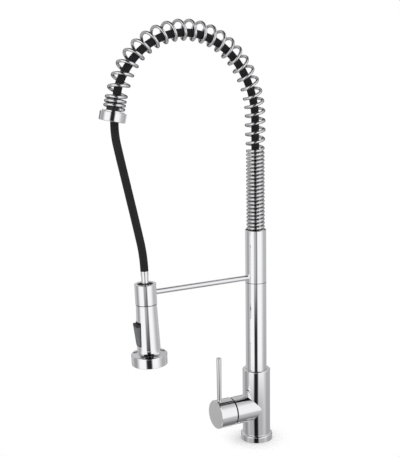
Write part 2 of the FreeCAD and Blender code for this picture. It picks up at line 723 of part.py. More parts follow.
def arm_rod():
    body = new_body("arm_rod")
    tube(body, d.arm_diameter, 0, ARM_START, d.reach - ARM_SEAT - d.fit_gap * 2)
    place(body, z=ARM_HEIGHT, tilt=90)


def head_holder():
    body = new_body("head_holder")
    wall, bore, mouth = HOLDER / 2, HOLDER_BORE / 2, MOUTH / 2
    turned(body, (
        (bore, HOLDER_LOW), (wall, HOLDER_LOW), (wall, HOLDER_TOP), (mouth, HOLDER_TOP),
        (mouth, LIP_LOW), (bore, LIP_LOW)))
    dress_rims(body, "Fillet", d.holder_round, ((HOLDER, HOLDER_TOP), (MOUTH, HOLDER_TOP)))
    hole = d.arm_diameter + d.fit_gap * 2
    drill(body, "XZ_Plane", -ARM_SEAT, ((0, ARM_HEIGHT),), hole, HOLDER)
    place_on_head(body)


def holder_liner():
    body = new_body("holder_liner")
    tube(body, LINER, LINER_BORE, HOLDER_LOW, LIP_LOW)
    place_on_head(body)


# Valve: each piece's own Z axis is the valve's axis, its height is the reach, its Y axis is up

BASE_FRONT = d.valve_floor + d.cartridge_base_thick
FIXED_FRONT = BASE_FRONT + d.fixed_disc_thick
MOVING_BACK = FIXED_FRONT + d.running_gap
MOVING_FRONT = MOVING_BACK + d.moving_disc_thick
CARRIER_FRONT = MOVING_FRONT + d.carrier_thick
ROTOR_BACK = CARRIER_FRONT + d.slide_gap
RIM_FRONT = ROTOR_BACK + d.rotor_rim_thick
HOUSING_INNER = RIM_FRONT + d.slide_gap
HOUSING_FRONT = HOUSING_INNER + d.housing_front
NUT_FRONT = HOUSING_FRONT + d.nut_thick
BOSS_REACH = NUT_FRONT + d.dome_skirt
PIVOT = HOUSING_FRONT + d.pivot_lead
BALL_REACH = MOVING_FRONT + d.carrier_floor + d.slide_gap + d.stem_width / 2
CARTRIDGE = d.valve_bore - d.fit_gap * 2
HOUSING_BORE = CARTRIDGE - d.housing_wall * 2
FIXED_DISC = HOUSING_BORE - d.fixed_disc_margin * 2
MOVING_DISC = FIXED_DISC - d.moving_disc_step * 2
FLOW_STROKE = (PIVOT - BALL_REACH) * sine(d.flow_angle)
CLOSED_DROP = FLOW_STROKE / 2


def place_on_valve(piece, drop=0):
    """Turns a piece's own Z axis to point out along the valve's axis."""
    place(piece, z=VALVE_HEIGHT - drop, tilt=90)


def cartridge_base():
    body = new_body("cartridge_base")
    tube(body, CARTRIDGE, 0, d.valve_floor, BASE_FRONT)
    drill(body, "XY_Plane", BASE_FRONT, port_spots(), d.passage_diameter, d.cartridge_base_thick)
    seat = d.passage_diameter + (d.port_seal_width + d.slide_gap + d.fit_gap) * 2
    drill(body, "XY_Plane", d.valve_floor, port_spots(), seat, d.port_seal_thick, back=True)
    place_on_valve(body)


def port_seals():
    body = new_body("port_seals")
    sketch = new_sketch(body, "XY_Plane", d.valve_floor)
    inner = d.passage_diameter + d.slide_gap * 2
    for x, y in port_spots():
        draw_circle(sketch, x, y, inner + d.port_seal_width * 2)
        draw_circle(sketch, x, y, inner)
    pad(body, sketch, d.port_seal_thick)
    place_on_valve(body)


def fixed_disc():
    body = new_body("fixed_disc")
    tube(body, FIXED_DISC, 0, BASE_FRONT, FIXED_FRONT)
    drill(body, "XY_Plane", FIXED_FRONT, port_spots(), d.passage_diameter, d.fixed_disc_thick)
    place_on_valve(body)


def moving_disc():
    """The disc that slides over the ports; closed, it lies half its stroke low."""
    body = new_body("moving_disc")
    tube(body, MOVING_DISC, 0, MOVING_BACK, MOVING_FRONT)
    mixing = MOVING_DISC - d.mixing_rim * 2
    drill(body, "XY_Plane", MOVING_BACK, ((0, 0),), mixing, d.mixing_depth, back=True)
    place_on_valve(body, CLOSED_DROP)


def disc_carrier():
    body = new_body("disc_carrier")
    tube(body, MOVING_DISC, 0, MOVING_FRONT, CARRIER_FRONT)
    sketch = new_sketch(body, "XY_Plane", CARRIER_FRONT)
    half = d.stem_width / 2 + d.carrier_play
    slot = d.stem_width + d.carrier_side_gap * 2
    draw_outline(sketch, box_outline(slot, CLOSED_DROP - half, CLOSED_DROP + half))
    pocket(body, sketch, d.carrier_thick - d.carrier_floor)
    place_on_valve(body, CLOSED_DROP)


def rotor():
    body = new_body("rotor")
    rim, neck = HOUSING_BORE / 2 - d.slide_gap, d.rotor_neck_diameter / 2
    front = RIM_FRONT + d.rotor_neck_length
    turned(body, (
        (0, ROTOR_BACK), (rim, ROTOR_BACK), (rim, RIM_FRONT), (neck, RIM_FRONT), (neck, front), (0, front)))
    sketch = new_sketch(body, "XY_Plane", front)
    half = d.stem_width / 2 + d.rotor_play
    draw_outline(sketch, box_outline(d.stem_width + d.fit_gap * 2, -half, half))
    pocket(body, sketch, d.rotor_rim_thick + d.rotor_neck_length)
    pin_hole(body, d.stem_pin_diameter + d.fit_gap / 2)
    place_on_valve(body)


def pin_hole(body, diameter):
    """A hole along X for the stem's pin."""
    sketch = new_sketch(body, "YZ_Plane")
    draw_circle(sketch, 0, PIVOT, diameter)
    pocket(body, sketch, d.rotor_neck_diameter * 2, symmetric=True)


def stem_pin():
    body = new_body("stem_pin")
    sketch = new_sketch(body, "YZ_Plane")
    draw_circle(sketch, 0, PIVOT, d.stem_pin_diameter)
    pad(body, sketch, d.rotor_neck_diameter - d.slide_gap * 2, symmetric=True)
    place_on_valve(body)


def stem():
    """A square bar that tips on its pin, with a rounded end in the disc carrier."""
    body = new_body("stem")
    bar = d.stem_width / 2
    neck = bar - d.stem_shoulder
    step, end = PIVOT - d.stem_neck_end, CAP_FLOOR + d.stem_seat
    ball_edge = BALL_REACH + root(bar * bar - neck * neck)
    sketch = new_sketch(body, "YZ_Plane")
    draw_outline(sketch, (
        (-neck, ball_edge), (-neck, step), (-bar, step), (-bar, end), (bar, end), (bar, step),
        (neck, step), (neck, ball_edge)))
    pad(body, sketch, d.stem_width, symmetric=True)
    ball = new_sketch(body, "YZ_Plane")
    draw_circle(ball, 0, BALL_REACH, d.stem_width)
    pad(body, ball, d.stem_width, symmetric=True)
    pin_hole(body, d.stem_pin_diameter + d.running_gap * 2)
    place_on_valve(body)


def cartridge_housing():
    body = new_body("cartridge_housing")
    wall, bore = CARTRIDGE / 2, HOUSING_BORE / 2
    neck = d.rotor_neck_diameter / 2 + d.running_gap
    turned(body, (
        (bore, BASE_FRONT), (wall, BASE_FRONT), (wall, HOUSING_FRONT), (neck, HOUSING_FRONT),
        (neck, HOUSING_INNER), (bore, HOUSING_INNER)))
    place_on_valve(body)


def cartridge_nut():
    body = new_body("cartridge_nut")
    tube(body, CARTRIDGE, d.rotor_neck_diameter + d.nut_gap * 2, HOUSING_FRONT, NUT_FRONT)
    place_on_valve(body)


# Cap and lever

SKIRT = CARTRIDGE / 2
DOME = root(SKIRT * SKIRT + (BOSS_REACH - PIVOT) * (BOSS_REACH - PIVOT))
CAP_BACK = BOSS_REACH + d.cap_gap
CAP_INSIDE = DOME + d.dome_gap
CAP_RADIUS = CAP_INSIDE + d.cap_wall
CAP_FLOOR = PIVOT + DOME + d.cap_room
CAP_FACE = CAP_FLOOR + d.cap_thick
LEVER_REACH = CAP_FACE - d.lever_inset
SET_SCREW_REACH = CAP_FLOOR + d.set_screw_inset


def dome_cover():
    """A round cover about the stem's pin, over which the cap tips."""
    body = new_body("dome_cover")
    inner, throat, mouth = DOME - d.dome_wall, SKIRT - d.dome_wall, d.dome_mouth / 2

    def front(radius, across):
        return PIVOT + root(radius * radius - across * across)

    turned(body, (
        (throat, NUT_FRONT), (SKIRT, NUT_FRONT), (SKIRT, BOSS_REACH, DOME, 1), (mouth, front(DOME, mouth)),
        (mouth, front(inner, mouth), inner, -1), (throat, front(inner, throat))))
    place_on_valve(body)


def handle_cap():
    body = new_body("handle_cap")
    turned(body, (
        (CAP_INSIDE, CAP_BACK), (CAP_RADIUS, CAP_BACK), (CAP_RADIUS, CAP_FACE), (0, CAP_FACE),
        (0, CAP_FLOOR), (CAP_INSIDE, CAP_FLOOR)))
    dress_rims(body, "Chamfer", d.cap_chamfer, ((CAP_RADIUS * 2, CAP_FACE),))
    relieve_cap(body)
    socket = new_sketch(body, "XY_Plane", CAP_FLOOR)
    half = d.stem_width / 2 + d.fit_gap
    draw_outline(socket, box_outline(half * 2, -half, half))
    pocket(body, socket, d.stem_seat + d.slide_gap, back=True)
    lever_hole = d.lever_diameter + d.fit_gap * 2
    drill(body, "XZ_Plane", d.lever_seat - CAP_RADIUS, ((0, LEVER_REACH),), lever_hole, CAP_RADIUS)
    screw_hole, plug_hole = d.set_screw_diameter + d.fit_gap * 2, d.plug_diameter + d.fit_gap * 2
    screw_spot = ((0, SET_SCREW_REACH),)
    drill(body, "XZ_Plane", 0, screw_spot, screw_hole, CAP_RADIUS, back=True)
    drill(body, "XZ_Plane", CAP_RADIUS - d.plug_depth, screw_spot, plug_hole, CAP_RADIUS, back=True)
    place_on_valve(body)


def relieve_cap(body):
    """Cuts the cap's lower back edge so that it clears the boss when the lever is tipped."""
    clear = BOSS_REACH + d.slide_gap * 2 - PIVOT
    below = -(CAP_RADIUS + d.cap_gap)
    lean, level = sine(d.flow_angle), cosine(d.flow_angle)
    start = (clear - (BOSS_REACH - PIVOT) * level) / lean
    deep = PIVOT + (clear - below * lean) / level
    sketch = new_sketch(body, "YZ_Plane")
    draw_outline(sketch, ((start, BOSS_REACH), (below, BOSS_REACH), (below, deep)))
    pocket(body, sketch, CAP_RADIUS * 4, symmetric=True)


def lever_pin():
    body = new_body("lever_pin")
    foot = d.lever_diameter / 2
    top = foot + d.lever_flare
    cap_top = VALVE_HEIGHT + CAP_RADIUS
    low, high = cap_top - d.lever_seat, cap_top + d.lever_length
    turned(body, ((0, low), (foot, low), (foot, cap_top), (top, high), (0, high)))
    dress_rims(body, "Chamfer", d.lever_chamfer, ((top * 2, high),))
    place(body, y=-LEVER_REACH)


def place_under_cap(piece):
    """Turns a piece's own Z axis to point down through the cap's wall."""
    place(piece, y=-SET_SCREW_REACH, z=VALVE_HEIGHT, tilt=180)


def set_screw():
    body = new_body("set_screw")
    start = d.stem_width / 2
    end = start + d.set_screw_length
    tube(body, d.set_screw_diameter, 0, start, end)
    hexagon_recess(body, end, d.set_screw_diameter / 2)
    place_under_cap(body)


def screw_plug():
    body = new_body("screw_plug")
    top = CAP_RADIUS + d.plug_stand
    tube(body, d.plug_diameter, 0, CAP_RADIUS - d.plug_depth, top)
    dress_rims(body, "Fillet", d.plug_stand * 0.8, ((d.plug_diameter, top),))
    place_under_cap(body)


# Spring and hose: their lines lie in the plane of the arm and the valve

class Route:
    """A line in the spout's plane that starts upwards at the column and bends towards -Y."""

    def __init__(self, low, arch_start):
        self.length = 0.0
        self.stretches = []
        self.add(FreeCAD.Vector(0, 0, low), 0.0, arch_start - low, 0.0)
        self.bend(d.arch_first_radius, d.arch_first_angle)
        self.bend(d.arch_second_radius, d.arch_second_angle)

    def add(self, start, heading, length, curvature):
        self.stretches.append((self.length, start, heading, length, curvature))
        self.length += length

    def bend(self, radius, turn):
        self.add(*self.at(self.length), radius.value * math.radians(turn.value), 1 / radius.value)

    def extend(self, length):
        self.add(*self.at(self.length), length, 0.0)

    def at(self, distance):
        """The point and the heading, in radians from straight up, at a distance along the line."""
        for begin, start, heading, length, curvature in self.stretches:
            along = distance - begin
            if along <= length + SMALL:
                break
        turned_to = heading + curvature * along
        if curvature:
            out = (math.cos(heading) - math.cos(turned_to)) / curvature
            up = (math.sin(turned_to) - math.sin(heading)) / curvature
        else:
            out, up = math.sin(heading) * along, math.cos(heading) * along
        return start + FreeCAD.Vector(0, -out, up), turned_to

    def edges(self):
        shapes = []
        for begin, start, heading, length, curvature in self.stretches:
            end = self.at(begin + length)[0]
            if curvature:
                shapes.append(Part.Arc(start, self.at(begin + length / 2)[0], end).toShape())
            else:
                shapes.append(Part.LineSegment(start, end).toShape())
        return shapes


ARCH_START = SLEEVE_TOP + d.spring_rise
WIRE = d.wire_diameter.value
TURNS = (d.close_turns.value, d.rise_turns.value, d.open_turns.value, d.end_turns.value)


def spring_route():
    end_room = WIRE / 2 + d.spring_seat_gap.value
    route = Route(POCKET_FLOOR.value + end_room, ARCH_START.value)
    route.extend(d.collar_seat.value - end_room)
    return route


def spring_axis_distance(turn, route):
    """How far along the spring's axis a turn lies."""
    close, rising, opened, last = TURNS
    close_pitch, rise_pitch = WIRE + d.close_gap.value, WIRE + d.rise_gap.value
    rise_start = close_pitch * close
    rise_end = rise_start + rise_pitch * rising
    open_length = route.length - close_pitch * last - rise_end
    if turn <= close:
        return close_pitch * turn
    if turn <= close + rising:
        return rise_start + rise_pitch * (turn - close)
    if turn <= close + rising + opened:
        return rise_end + open_length * (turn - close - rising) / opened
    return route.length - close_pitch * (sum(TURNS) - turn)


def spring_point(turn, route):
    """A point on the wire's centre line; the wire winds to the right."""
    middle, heading = route.at(spring_axis_distance(turn, route))
    widened = min(max((turn - TURNS[0]) / d.widening_turns.value, 0), 1)
    radius = (CLOSE_TURN.value - WIRE) / 2 + d.spring_widening.value * widened
    angle = -2 * math.pi * turn
    sideways = FreeCAD.Vector(1, 0, 0)
    inward = FreeCAD.Vector(0, -math.cos(heading), -math.sin(heading))
    return middle + (sideways * math.cos(angle) + inward * math.sin(angle)) * radius


def tangent_arc(start, corner, end):
    """The arc from start to end whose end tangents meet at a corner."""
    middle = (start + end) * 0.5
    half = (end - start).Length / 2
    rise = (corner - middle).Length
    crown = middle + (corner - middle) * (half * math.tan(math.atan2(rise, half) / 2) / rise)
    return Part.Arc(start, crown, end).toShape()


def biarc(start, start_way, end, end_way):
    """Two arcs that join two points along their ways."""
    across = end - start
    bent = 2 * (1 - start_way.dot(end_way))
    lean = across.dot(start_way + end_way)
    reach = (math.sqrt(lean ** 2 + bent * across.dot(across)) - lean) / bent
    first, last = start + start_way * reach, end - end_way * reach
    joint = (first + last) * 0.5
    return [tangent_arc(start, first, joint), tangent_arc(joint, last, end)]


def winding(point_at, turns, end_run):
    """The edges of a wound wire, by quarter turns, with a straight run at each end."""
    step = 0.01
    spots, ways = [], []
    for quarter in range(round(turns * 4) + 1):
        turn = quarter / 4
        spots.append(point_at(turn))
        onward, backward = min(turn + step, turns), max(turn - step, 0)
        ways.append((point_at(onward) - point_at(backward)).normalize())
    edges = [Part.LineSegment(spots[0] - ways[0] * end_run, spots[0]).toShape()]
    for index in range(len(spots) - 1):
        edges += biarc(spots[index], ways[index], spots[index + 1], ways[index + 1])
    edges.append(Part.LineSegment(spots[-1], spots[-1] + ways[-1] * end_run).toShape())
    return edges


def round_pipe(edges, diameter):
    """A solid round bar along edges."""
    start = edges[0].firstVertex().Point
    way = edges[0].tangentAt(edges[0].FirstParameter)
    section = Part.Wire(Part.makeCircle(diameter / 2, start, way))
    return Part.Wire(edges).makePipeShell([section], True, False)


def print_least_gap(label, point_at, turns, diameter):
    """Measures the least gap between a wire's turns on points."""
    per_turn = 36
    spots = [point_at(index / per_turn) for index in range(round(turns * per_turn) + 1)]
    near, far = per_turn // 2, per_turn * 3 // 2
    least = math.inf
    for index, spot in enumerate(spots):
        for other in spots[index + near:index + far]:
            least = min(least, (other - spot).Length)
    print(f"{label}: least gap between turns {least - diameter:.2f} mm")


def add_shape(label, shape):
    piece = doc.addObject("Part::Feature", label)
    piece.Label = label
    piece.Shape = shape
    pieces.append(piece)
    return piece


def add_winding(label, point_at, turns, wire):
    print_least_gap(label, point_at, turns, wire)
    return add_shape(label, round_pipe(winding(point_at, turns, wire), wire))


def spout_spring():
    route = spring_route()
    piece = add_winding("spout_spring", lambda turn: spring_point(turn, route), sum(TURNS), WIRE)
    place(piece)


HOSE_BORE = d.hose_diameter - d.hose_wall * 2
BARB = HOSE_BORE / 2 - d.fit_gap
NIPPLE_BORE = BARB - d.barb_wall
TAIL_TOP = POCKET_FLOOR + d.tail_hex_height


def hose_tail():
    """The nipple on the sleeve's water way that the hose is pushed onto."""
    body = new_body("hose_tail")
    low, barb_top = POCKET_FLOOR - d.tail_thread_length, TAIL_TOP + d.tail_barb_length
    sketch = new_sketch(body, "XY_Plane", POCKET_FLOOR)
    draw_hexagon(sketch, CLOSE_TURN - (d.wire_diameter + d.tail_gap) * 2)
    pad(body, sketch, d.tail_hex_height)
    tube(body, d.tail_thread_diameter, 0, low, POCKET_FLOOR)
    tube(body, BARB * 2, 0, TAIL_TOP, barb_top)
    drill(body, "XY_Plane", low, ((0, 0),), NIPPLE_BORE * 2, barb_top - low, back=True)


def hose_route():
    route = Route(TAIL_TOP.value, (ARCH_START - d.hose_sag).value)
    route.bend(d.hose_exit_radius, d.hose_exit_angle)
    return route


def add_hose(label, edges):
    """A hose with its bore, compared with its section times its length."""
    outer, bore = d.hose_diameter.value, HOSE_BORE.value
    shape = round_pipe(edges, outer).cut(round_pipe(edges, bore))
    length = sum(edge.Length for edge in edges)
    expected = math.pi / 4 * (outer ** 2 - bore ** 2) * length
    print(f"{label}: length {length:.1f} mm, volume {shape.Volume / expected:.5f} of section by length")
    place(add_shape(label, shape))


def hose_inner():
    add_hose("hose_inner", hose_route().edges())


def free_hose_corners():
    """The free hose's route, from the end of the hose in the spring to the top of the leaning ferrule."""
    route = hose_route()
    route.extend(d.fit_gap.value)
    start = route.at(route.length)[0]
    route.extend(d.hose_first_run.value)
    lean = math.radians(d.head_lean.value)
    up = FreeCAD.Vector(0, -math.sin(lean), math.cos(lean))
    rise, grip = (FERRULE_TOP - ARM_HEIGHT).value, ARM_GRIP.value
    arm_end = FreeCAD.Vector(0, grip - d.reach.value, ARM_HEIGHT.value)
    end = arm_end - FreeCAD.Vector(0, math.cos(lean), math.sin(lean)) * grip + up * rise
    points = [start, route.at(route.length)[0]]
    way = end - start
    for across, down in FREE_HOSE_SHARES:
        points.append(FreeCAD.Vector(0, end.y - way.y * across, start.z + way.z * down))
    return points + [end + up * d.hose_last_run.value, end]


def rounded_route(points):
    """Straight runs joined by arcs, each as large as its two runs allow."""
    share = 0.45
    edges = []
    last = points[0]
    for index in range(1, len(points) - 1):
        back, onward = points[index - 1] - points[index], points[index + 1] - points[index]
        cut = share * min(back.Length, onward.Length)
        half_turn = (math.pi - back.getAngle(onward)) / 2
        print(f"free hose point {index}: radius {cut / math.tan(half_turn):.0f} mm")
        start = points[index] + back.normalize() * cut
        end = points[index] + onward.normalize() * cut
        edges.append(Part.LineSegment(last, start).toShape())
        edges.append(tangent_arc(start, points[index], end))
        last = end
    edges.append(Part.LineSegment(last, points[-1]).toShape())
    return edges


def hose_free():
    add_hose("hose_free", rounded_route(free_hose_corners()))


# Collar: its own Z axis runs on from the arch's end

COLLAR_FRONT = d.collar_seat + d.collar_neck_height
COLLAR_MOUTH = COLLAR_FRONT + d.collar_height
COLLAR = OPEN_TURN + d.collar_step * 2
COLLAR_BELL = COLLAR - d.collar_wall * 2
GUIDE = OPEN_TURN - (d.wire_diameter + d.guide_gap) * 2


def place_on_collar(piece):
    first, turn = d.arch_first_radius, d.arch_first_angle
    second, whole = d.arch_second_radius, d.arch_first_angle + d.arch_second_angle
    reach = first - first * cosine(turn) + second * (cosine(turn) - cosine(whole))
    height = ARCH_START + first * sine(turn) + second * (sine(whole) - sine(turn))
    place(piece, y=-reach, z=height, tilt=whole)


def spring_collar():
    body = new_body("spring_collar")
    neck, wall = OPEN_TURN / 2 + d.collar_neck_step, COLLAR / 2
    guide, bell = GUIDE / 2 + d.fit_gap, COLLAR_BELL / 2
    turned(body, (
        (guide, d.collar_seat), (neck, d.collar_seat), (neck, COLLAR_FRONT), (wall, COLLAR_FRONT),
        (wall, COLLAR_MOUTH), (bell, COLLAR_MOUTH), (bell, COLLAR_FRONT), (guide, COLLAR_FRONT)))
    dress_rims(body, "Fillet", d.collar_round, ((COLLAR, COLLAR_FRONT), (COLLAR, COLLAR_MOUTH)))
    place_on_collar(body)


def guide_bush():
    """A dark bush inside the spring's last turns that keeps the hose off the metal."""
    body = new_body("guide_bush")
    outer, rim = GUIDE / 2, COLLAR_BELL / 2 - d.fit_gap
    bore = outer - d.guide_wall
    top, low = d.collar_seat - d.guide_rise, COLLAR_FRONT + d.guide_rim_height
    turned(body, (
        (bore, top), (outer, top), (outer, COLLAR_FRONT), (rim, COLLAR_FRONT), (rim, low), (bore, low)))
    place_on_collar(body)


# Hose end

NECK_TOP = LIP_LOW - d.neck_clearance
NUT_LOW = NECK_TOP - d.nut_length
FERRULE_LOW = NECK_TOP + d.ferrule_gap
FERRULE_TOP = FERRULE_LOW + d.ferrule_length
FOOT_TOP = NUT_LOW - d.slide_gap
FOOT_LOW = FOOT_TOP - d.shank_foot_height


def hose_ferrule():
    """The crimped end of the hose, with the foot on which the spray head turns."""
    body = new_body("hose_ferrule")
    wall, shank, foot = FERRULE / 2, d.shank_diameter / 2, d.shank_foot_diameter / 2
    barb_top = FERRULE_TOP + d.ferrule_barb_length
    bead, width = wall + d.ferrule_bead, d.ferrule_bead * 4
    lower_bead, upper_bead = FERRULE_TOP - width * 3, FERRULE_TOP - width
    turned(body, (
        (NIPPLE_BORE, FOOT_LOW), (foot, FOOT_LOW), (foot, FOOT_TOP), (shank, FOOT_TOP),
        (shank, FERRULE_LOW), (wall, FERRULE_LOW), (wall, lower_bead), (bead, lower_bead),
        (bead, lower_bead + width), (wall, lower_bead + width), (wall, upper_bead), (bead, upper_bead),
        (bead, FERRULE_TOP), (BARB, FERRULE_TOP), (BARB, barb_top), (NIPPLE_BORE, barb_top)))
    place_on_head(body)


# Spray head: each piece's own Z axis is the head's axis, and the trigger is on its -Y side

HEAD_TOP = HOLDER_LOW - d.slide_gap
HEAD_LOW = HEAD_TOP - d.head_length
ROOF_LOW = HEAD_TOP - d.shell_roof
SEAM_LOW = HEAD_TOP - d.seam_height
FLARE_TOP = HEAD_LOW + d.flare_height
WAIST_HEIGHT = FLARE_TOP + d.sweep_height
CHAMBER_TOP = HEAD_LOW + d.chamber_depth
TOP_RADIUS = d.shell_bore / 2 + d.shell_wall
WAIST_RADIUS = TOP_RADIUS + d.head_taper
FLARE_RADIUS = WAIST_RADIUS + d.flare_step
CHAMBER_RADIUS = FLARE_RADIUS - d.flare_wall
SEAT_FLOOR = FOOT_LOW - d.running_gap - d.washer_thick
SEAT_BORE = d.shank_foot_diameter + d.slide_gap * 2
NUT_BORE = NECK - d.neck_wall * 2
FACE_LOW = HEAD_LOW + d.spray_face_inset
FACE_TOP = FACE_LOW + d.spray_face_thick
FACE_DIAMETER = (CHAMBER_RADIUS - d.fit_gap) * 2
WINDOW_LOW = HEAD_LOW + d.window_rise
WINDOW_TOP = WINDOW_LOW + d.window_height
PIN_REACH = CORE / 2 - d.trigger_pin_inset
POCKET_REACH = PIN_REACH - d.trigger_lug - d.pocket_gap
TRIGGER_FOOT = WINDOW_LOW + d.trigger_foot_gap
TRIGGER_TOP = WINDOW_TOP - d.trigger_top_gap
TRIGGER_BACK = d.shell_bore / 2 + d.trigger_back_gap
PIN_HEIGHT = TRIGGER_FOOT + d.trigger_pin_rise
DIVERTER_HEIGHT = PIN_HEIGHT + d.diverter_rise


def head_shell():
    body = new_body("head_shell")
    bore, neck = d.shell_bore / 2, NECK / 2 + d.fit_gap
    seam = TOP_RADIUS - d.seam_depth
    turned(body, (
        (neck, HEAD_TOP), (neck, ROOF_LOW), (bore, ROOF_LOW), (bore, CHAMBER_TOP),
        (CHAMBER_RADIUS, CHAMBER_TOP), (CHAMBER_RADIUS, HEAD_LOW),
        (FLARE_RADIUS - d.flare_chamfer, HEAD_LOW), (FLARE_RADIUS, HEAD_LOW + d.flare_chamfer),
        (FLARE_RADIUS, FLARE_TOP - d.flare_round, d.flare_round, 1),
        (FLARE_RADIUS - d.flare_round, FLARE_TOP, d.sweep_radius, -1),
        (WAIST_RADIUS, WAIST_HEIGHT), (TOP_RADIUS, SEAM_LOW), (seam, SEAM_LOW), (seam, HEAD_TOP)))
    window = new_sketch(body, "XZ_Plane", POCKET_REACH)
    wall = d.bezel_wall + d.fit_gap
    draw_outline(window, box_outline(d.window_width + wall * 2, WINDOW_LOW - wall, WINDOW_TOP + wall))
    pocket(body, window, FLARE_RADIUS, back=True)
    place_on_head(body)


def head_core():
    body = new_body("head_core")
    wall, neck, nut = CORE / 2, NECK / 2, NUT_BORE / 2
    seat, way = SEAT_BORE / 2, d.core_water_way / 2
    turned(body, (
        (way, CHAMBER_TOP), (wall, CHAMBER_TOP), (wall, ROOF_LOW), (neck, ROOF_LOW), (neck, NECK_TOP),
        (nut, NECK_TOP), (nut, NUT_LOW), (seat, NUT_LOW), (seat, SEAT_FLOOR), (way, SEAT_FLOOR)))
    window = new_sketch(body, "XZ_Plane", POCKET_REACH)
    draw_outline(window, box_outline(d.window_width, WINDOW_LOW, WINDOW_TOP))
    pocket(body, window, CORE, back=True)
    bore = d.diverter_diameter + d.running_gap * 2
    drill(body, "XZ_Plane", POCKET_REACH, ((0, DIVERTER_HEIGHT),), bore, POCKET_REACH)
    trigger_pin_hole(body, d.trigger_pin_diameter + d.fit_gap / 2)
    place_on_head(body)


def draw_trigger_pin(sketch, diameter):
    draw_circle(sketch, -PIN_REACH, PIN_HEIGHT, diameter)


def trigger_pin_hole(body, diameter):
    sketch = new_sketch(body, "YZ_Plane")
    draw_trigger_pin(sketch, diameter)
    pocket(body, sketch, d.window_width + d.trigger_pin_seat * 2, symmetric=True)


def trigger_pin():
    body = new_body("trigger_pin")
    sketch = new_sketch(body, "YZ_Plane")
    draw_trigger_pin(sketch, d.trigger_pin_diameter)
    pad(body, sketch, d.window_width + d.trigger_pin_seat * 2, symmetric=True)
    place_on_head(body)


def head_nut():
    body = new_body("head_nut")
    tube(body, NUT_BORE - d.fit_gap * 2, d.shank_diameter + d.running_gap * 2, NUT_LOW, NECK_TOP)
    place_on_head(body)


def hose_washer():
    body = new_body("hose_washer")
    tube(body, SEAT_BORE - d.fit_gap * 2, NIPPLE_BORE * 2, SEAT_FLOOR, SEAT_FLOOR + d.washer_thick)
    place_on_head(body)


def check_valve():
    body = new_body("check_valve")
    top = SEAT_FLOOR - d.check_valve_drop
    outer = d.core_water_way - d.fit_gap * 2
    tube(body, outer, d.check_valve_bore, top - d.check_valve_length, top)
    place_on_head(body)


def nozzle_rings():
    inner = d.aerator_diameter / 2 + d.inner_nozzle_inset
    outer = FACE_DIAMETER / 2 - d.outer_nozzle_inset
    return ((inner, d.inner_nozzles), (outer, d.outer_nozzles))


def spray_face():
    body = new_body("spray_face")
    tube(body, FACE_DIAMETER, d.aerator_diameter + d.fit_gap * 2, FACE_LOW, FACE_TOP)
    hole = d.nozzle_diameter + d.fit_gap * 2
    for radius, count in nozzle_rings():
        feature = drill(body, "XY_Plane", FACE_TOP, ((radius, 0),), hole, d.spray_face_thick)
        ring_around(body, feature, count)
    place_on_head(body)


def nozzle_plate():
    """A soft plate behind the spray face whose nozzles stand out through it."""
    body = new_body("nozzle_plate")
    top = FACE_TOP + d.nozzle_plate_thick
    tube(body, FACE_DIAMETER, d.aerator_diameter + d.fit_gap * 2, FACE_TOP, top)
    for radius, count in nozzle_rings():
        sketch = new_sketch(body, "XY_Plane", FACE_TOP)
        draw_circle(sketch, radius, 0, d.nozzle_diameter)
        feature = pad(body, sketch, d.spray_face_thick + d.nozzle_stand, back=True)
        ring_around(body, feature, count)
    place_on_head(body)


def aerator():
    body = new_body("aerator")
    wall = d.aerator_diameter / 2
    mouth, way = wall - d.aerator_wall, d.core_water_way / 2
    floor = FACE_LOW + d.aerator_recess
    turned(body, (
        (mouth, FACE_LOW), (wall, FACE_LOW), (wall, CHAMBER_TOP), (way, CHAMBER_TOP), (way, floor),
        (mouth, floor)))
    place_on_head(body)


# Trigger

def trigger():
    body = new_body("trigger")
    lug_back = PIN_REACH - d.trigger_lug
    lug_low, lug_top = PIN_HEIGHT - d.trigger_lug, PIN_HEIGHT + d.trigger_lug
    foot_reach, top_reach = WAIST_RADIUS + d.trigger_foot_stand, WAIST_RADIUS + d.trigger_top_stand
    sketch = new_sketch(body, "YZ_Plane")
    draw_outline(sketch, (
        (-lug_back, lug_low), (-TRIGGER_BACK, TRIGGER_FOOT), (-foot_reach, TRIGGER_FOOT),
        (-top_reach, TRIGGER_TOP - d.trigger_round, d.trigger_round, -1),
        (d.trigger_round - top_reach, TRIGGER_TOP), (-TRIGGER_BACK, TRIGGER_TOP),
        (-TRIGGER_BACK, lug_top), (-lug_back, lug_top)))
    feature = pad(body, sketch, d.window_width - d.trigger_side_gap * 2, symmetric=True)
    round_trigger_front(body, feature)
    trigger_pin_hole(body, d.trigger_pin_diameter + d.running_gap * 2)
    place_on_head(body)


def round_trigger_front(body, feature):
    """Rounds the two long front edges, which run from the foot to the top."""
    names = []
    for number, edge in enumerate(feature.Shape.Edges, start=1):
        heights = [vertex.Point.z for vertex in edge.Vertexes]
        rises = max(heights) - min(heights) > d.trigger_round.value * 2
        in_front = max(vertex.Point.y for vertex in edge.Vertexes) < -TRIGGER_BACK.value - SMALL
        if rises and in_front:
            names.append(f"Edge{number}")
    dress = body.newObject("PartDesign::Fillet", "Fillet")
    dress.Base = (feature, names)
    bind(dress, "Radius", d.trigger_round)
    doc.recompute()


def bezel_radius(height):
    """The shell's taper at a height, and a little more."""
    share = (height - WAIST_HEIGHT) / (SEAM_LOW - WAIST_HEIGHT)
    return WAIST_RADIUS - d.head_taper * share + d.bezel_stand


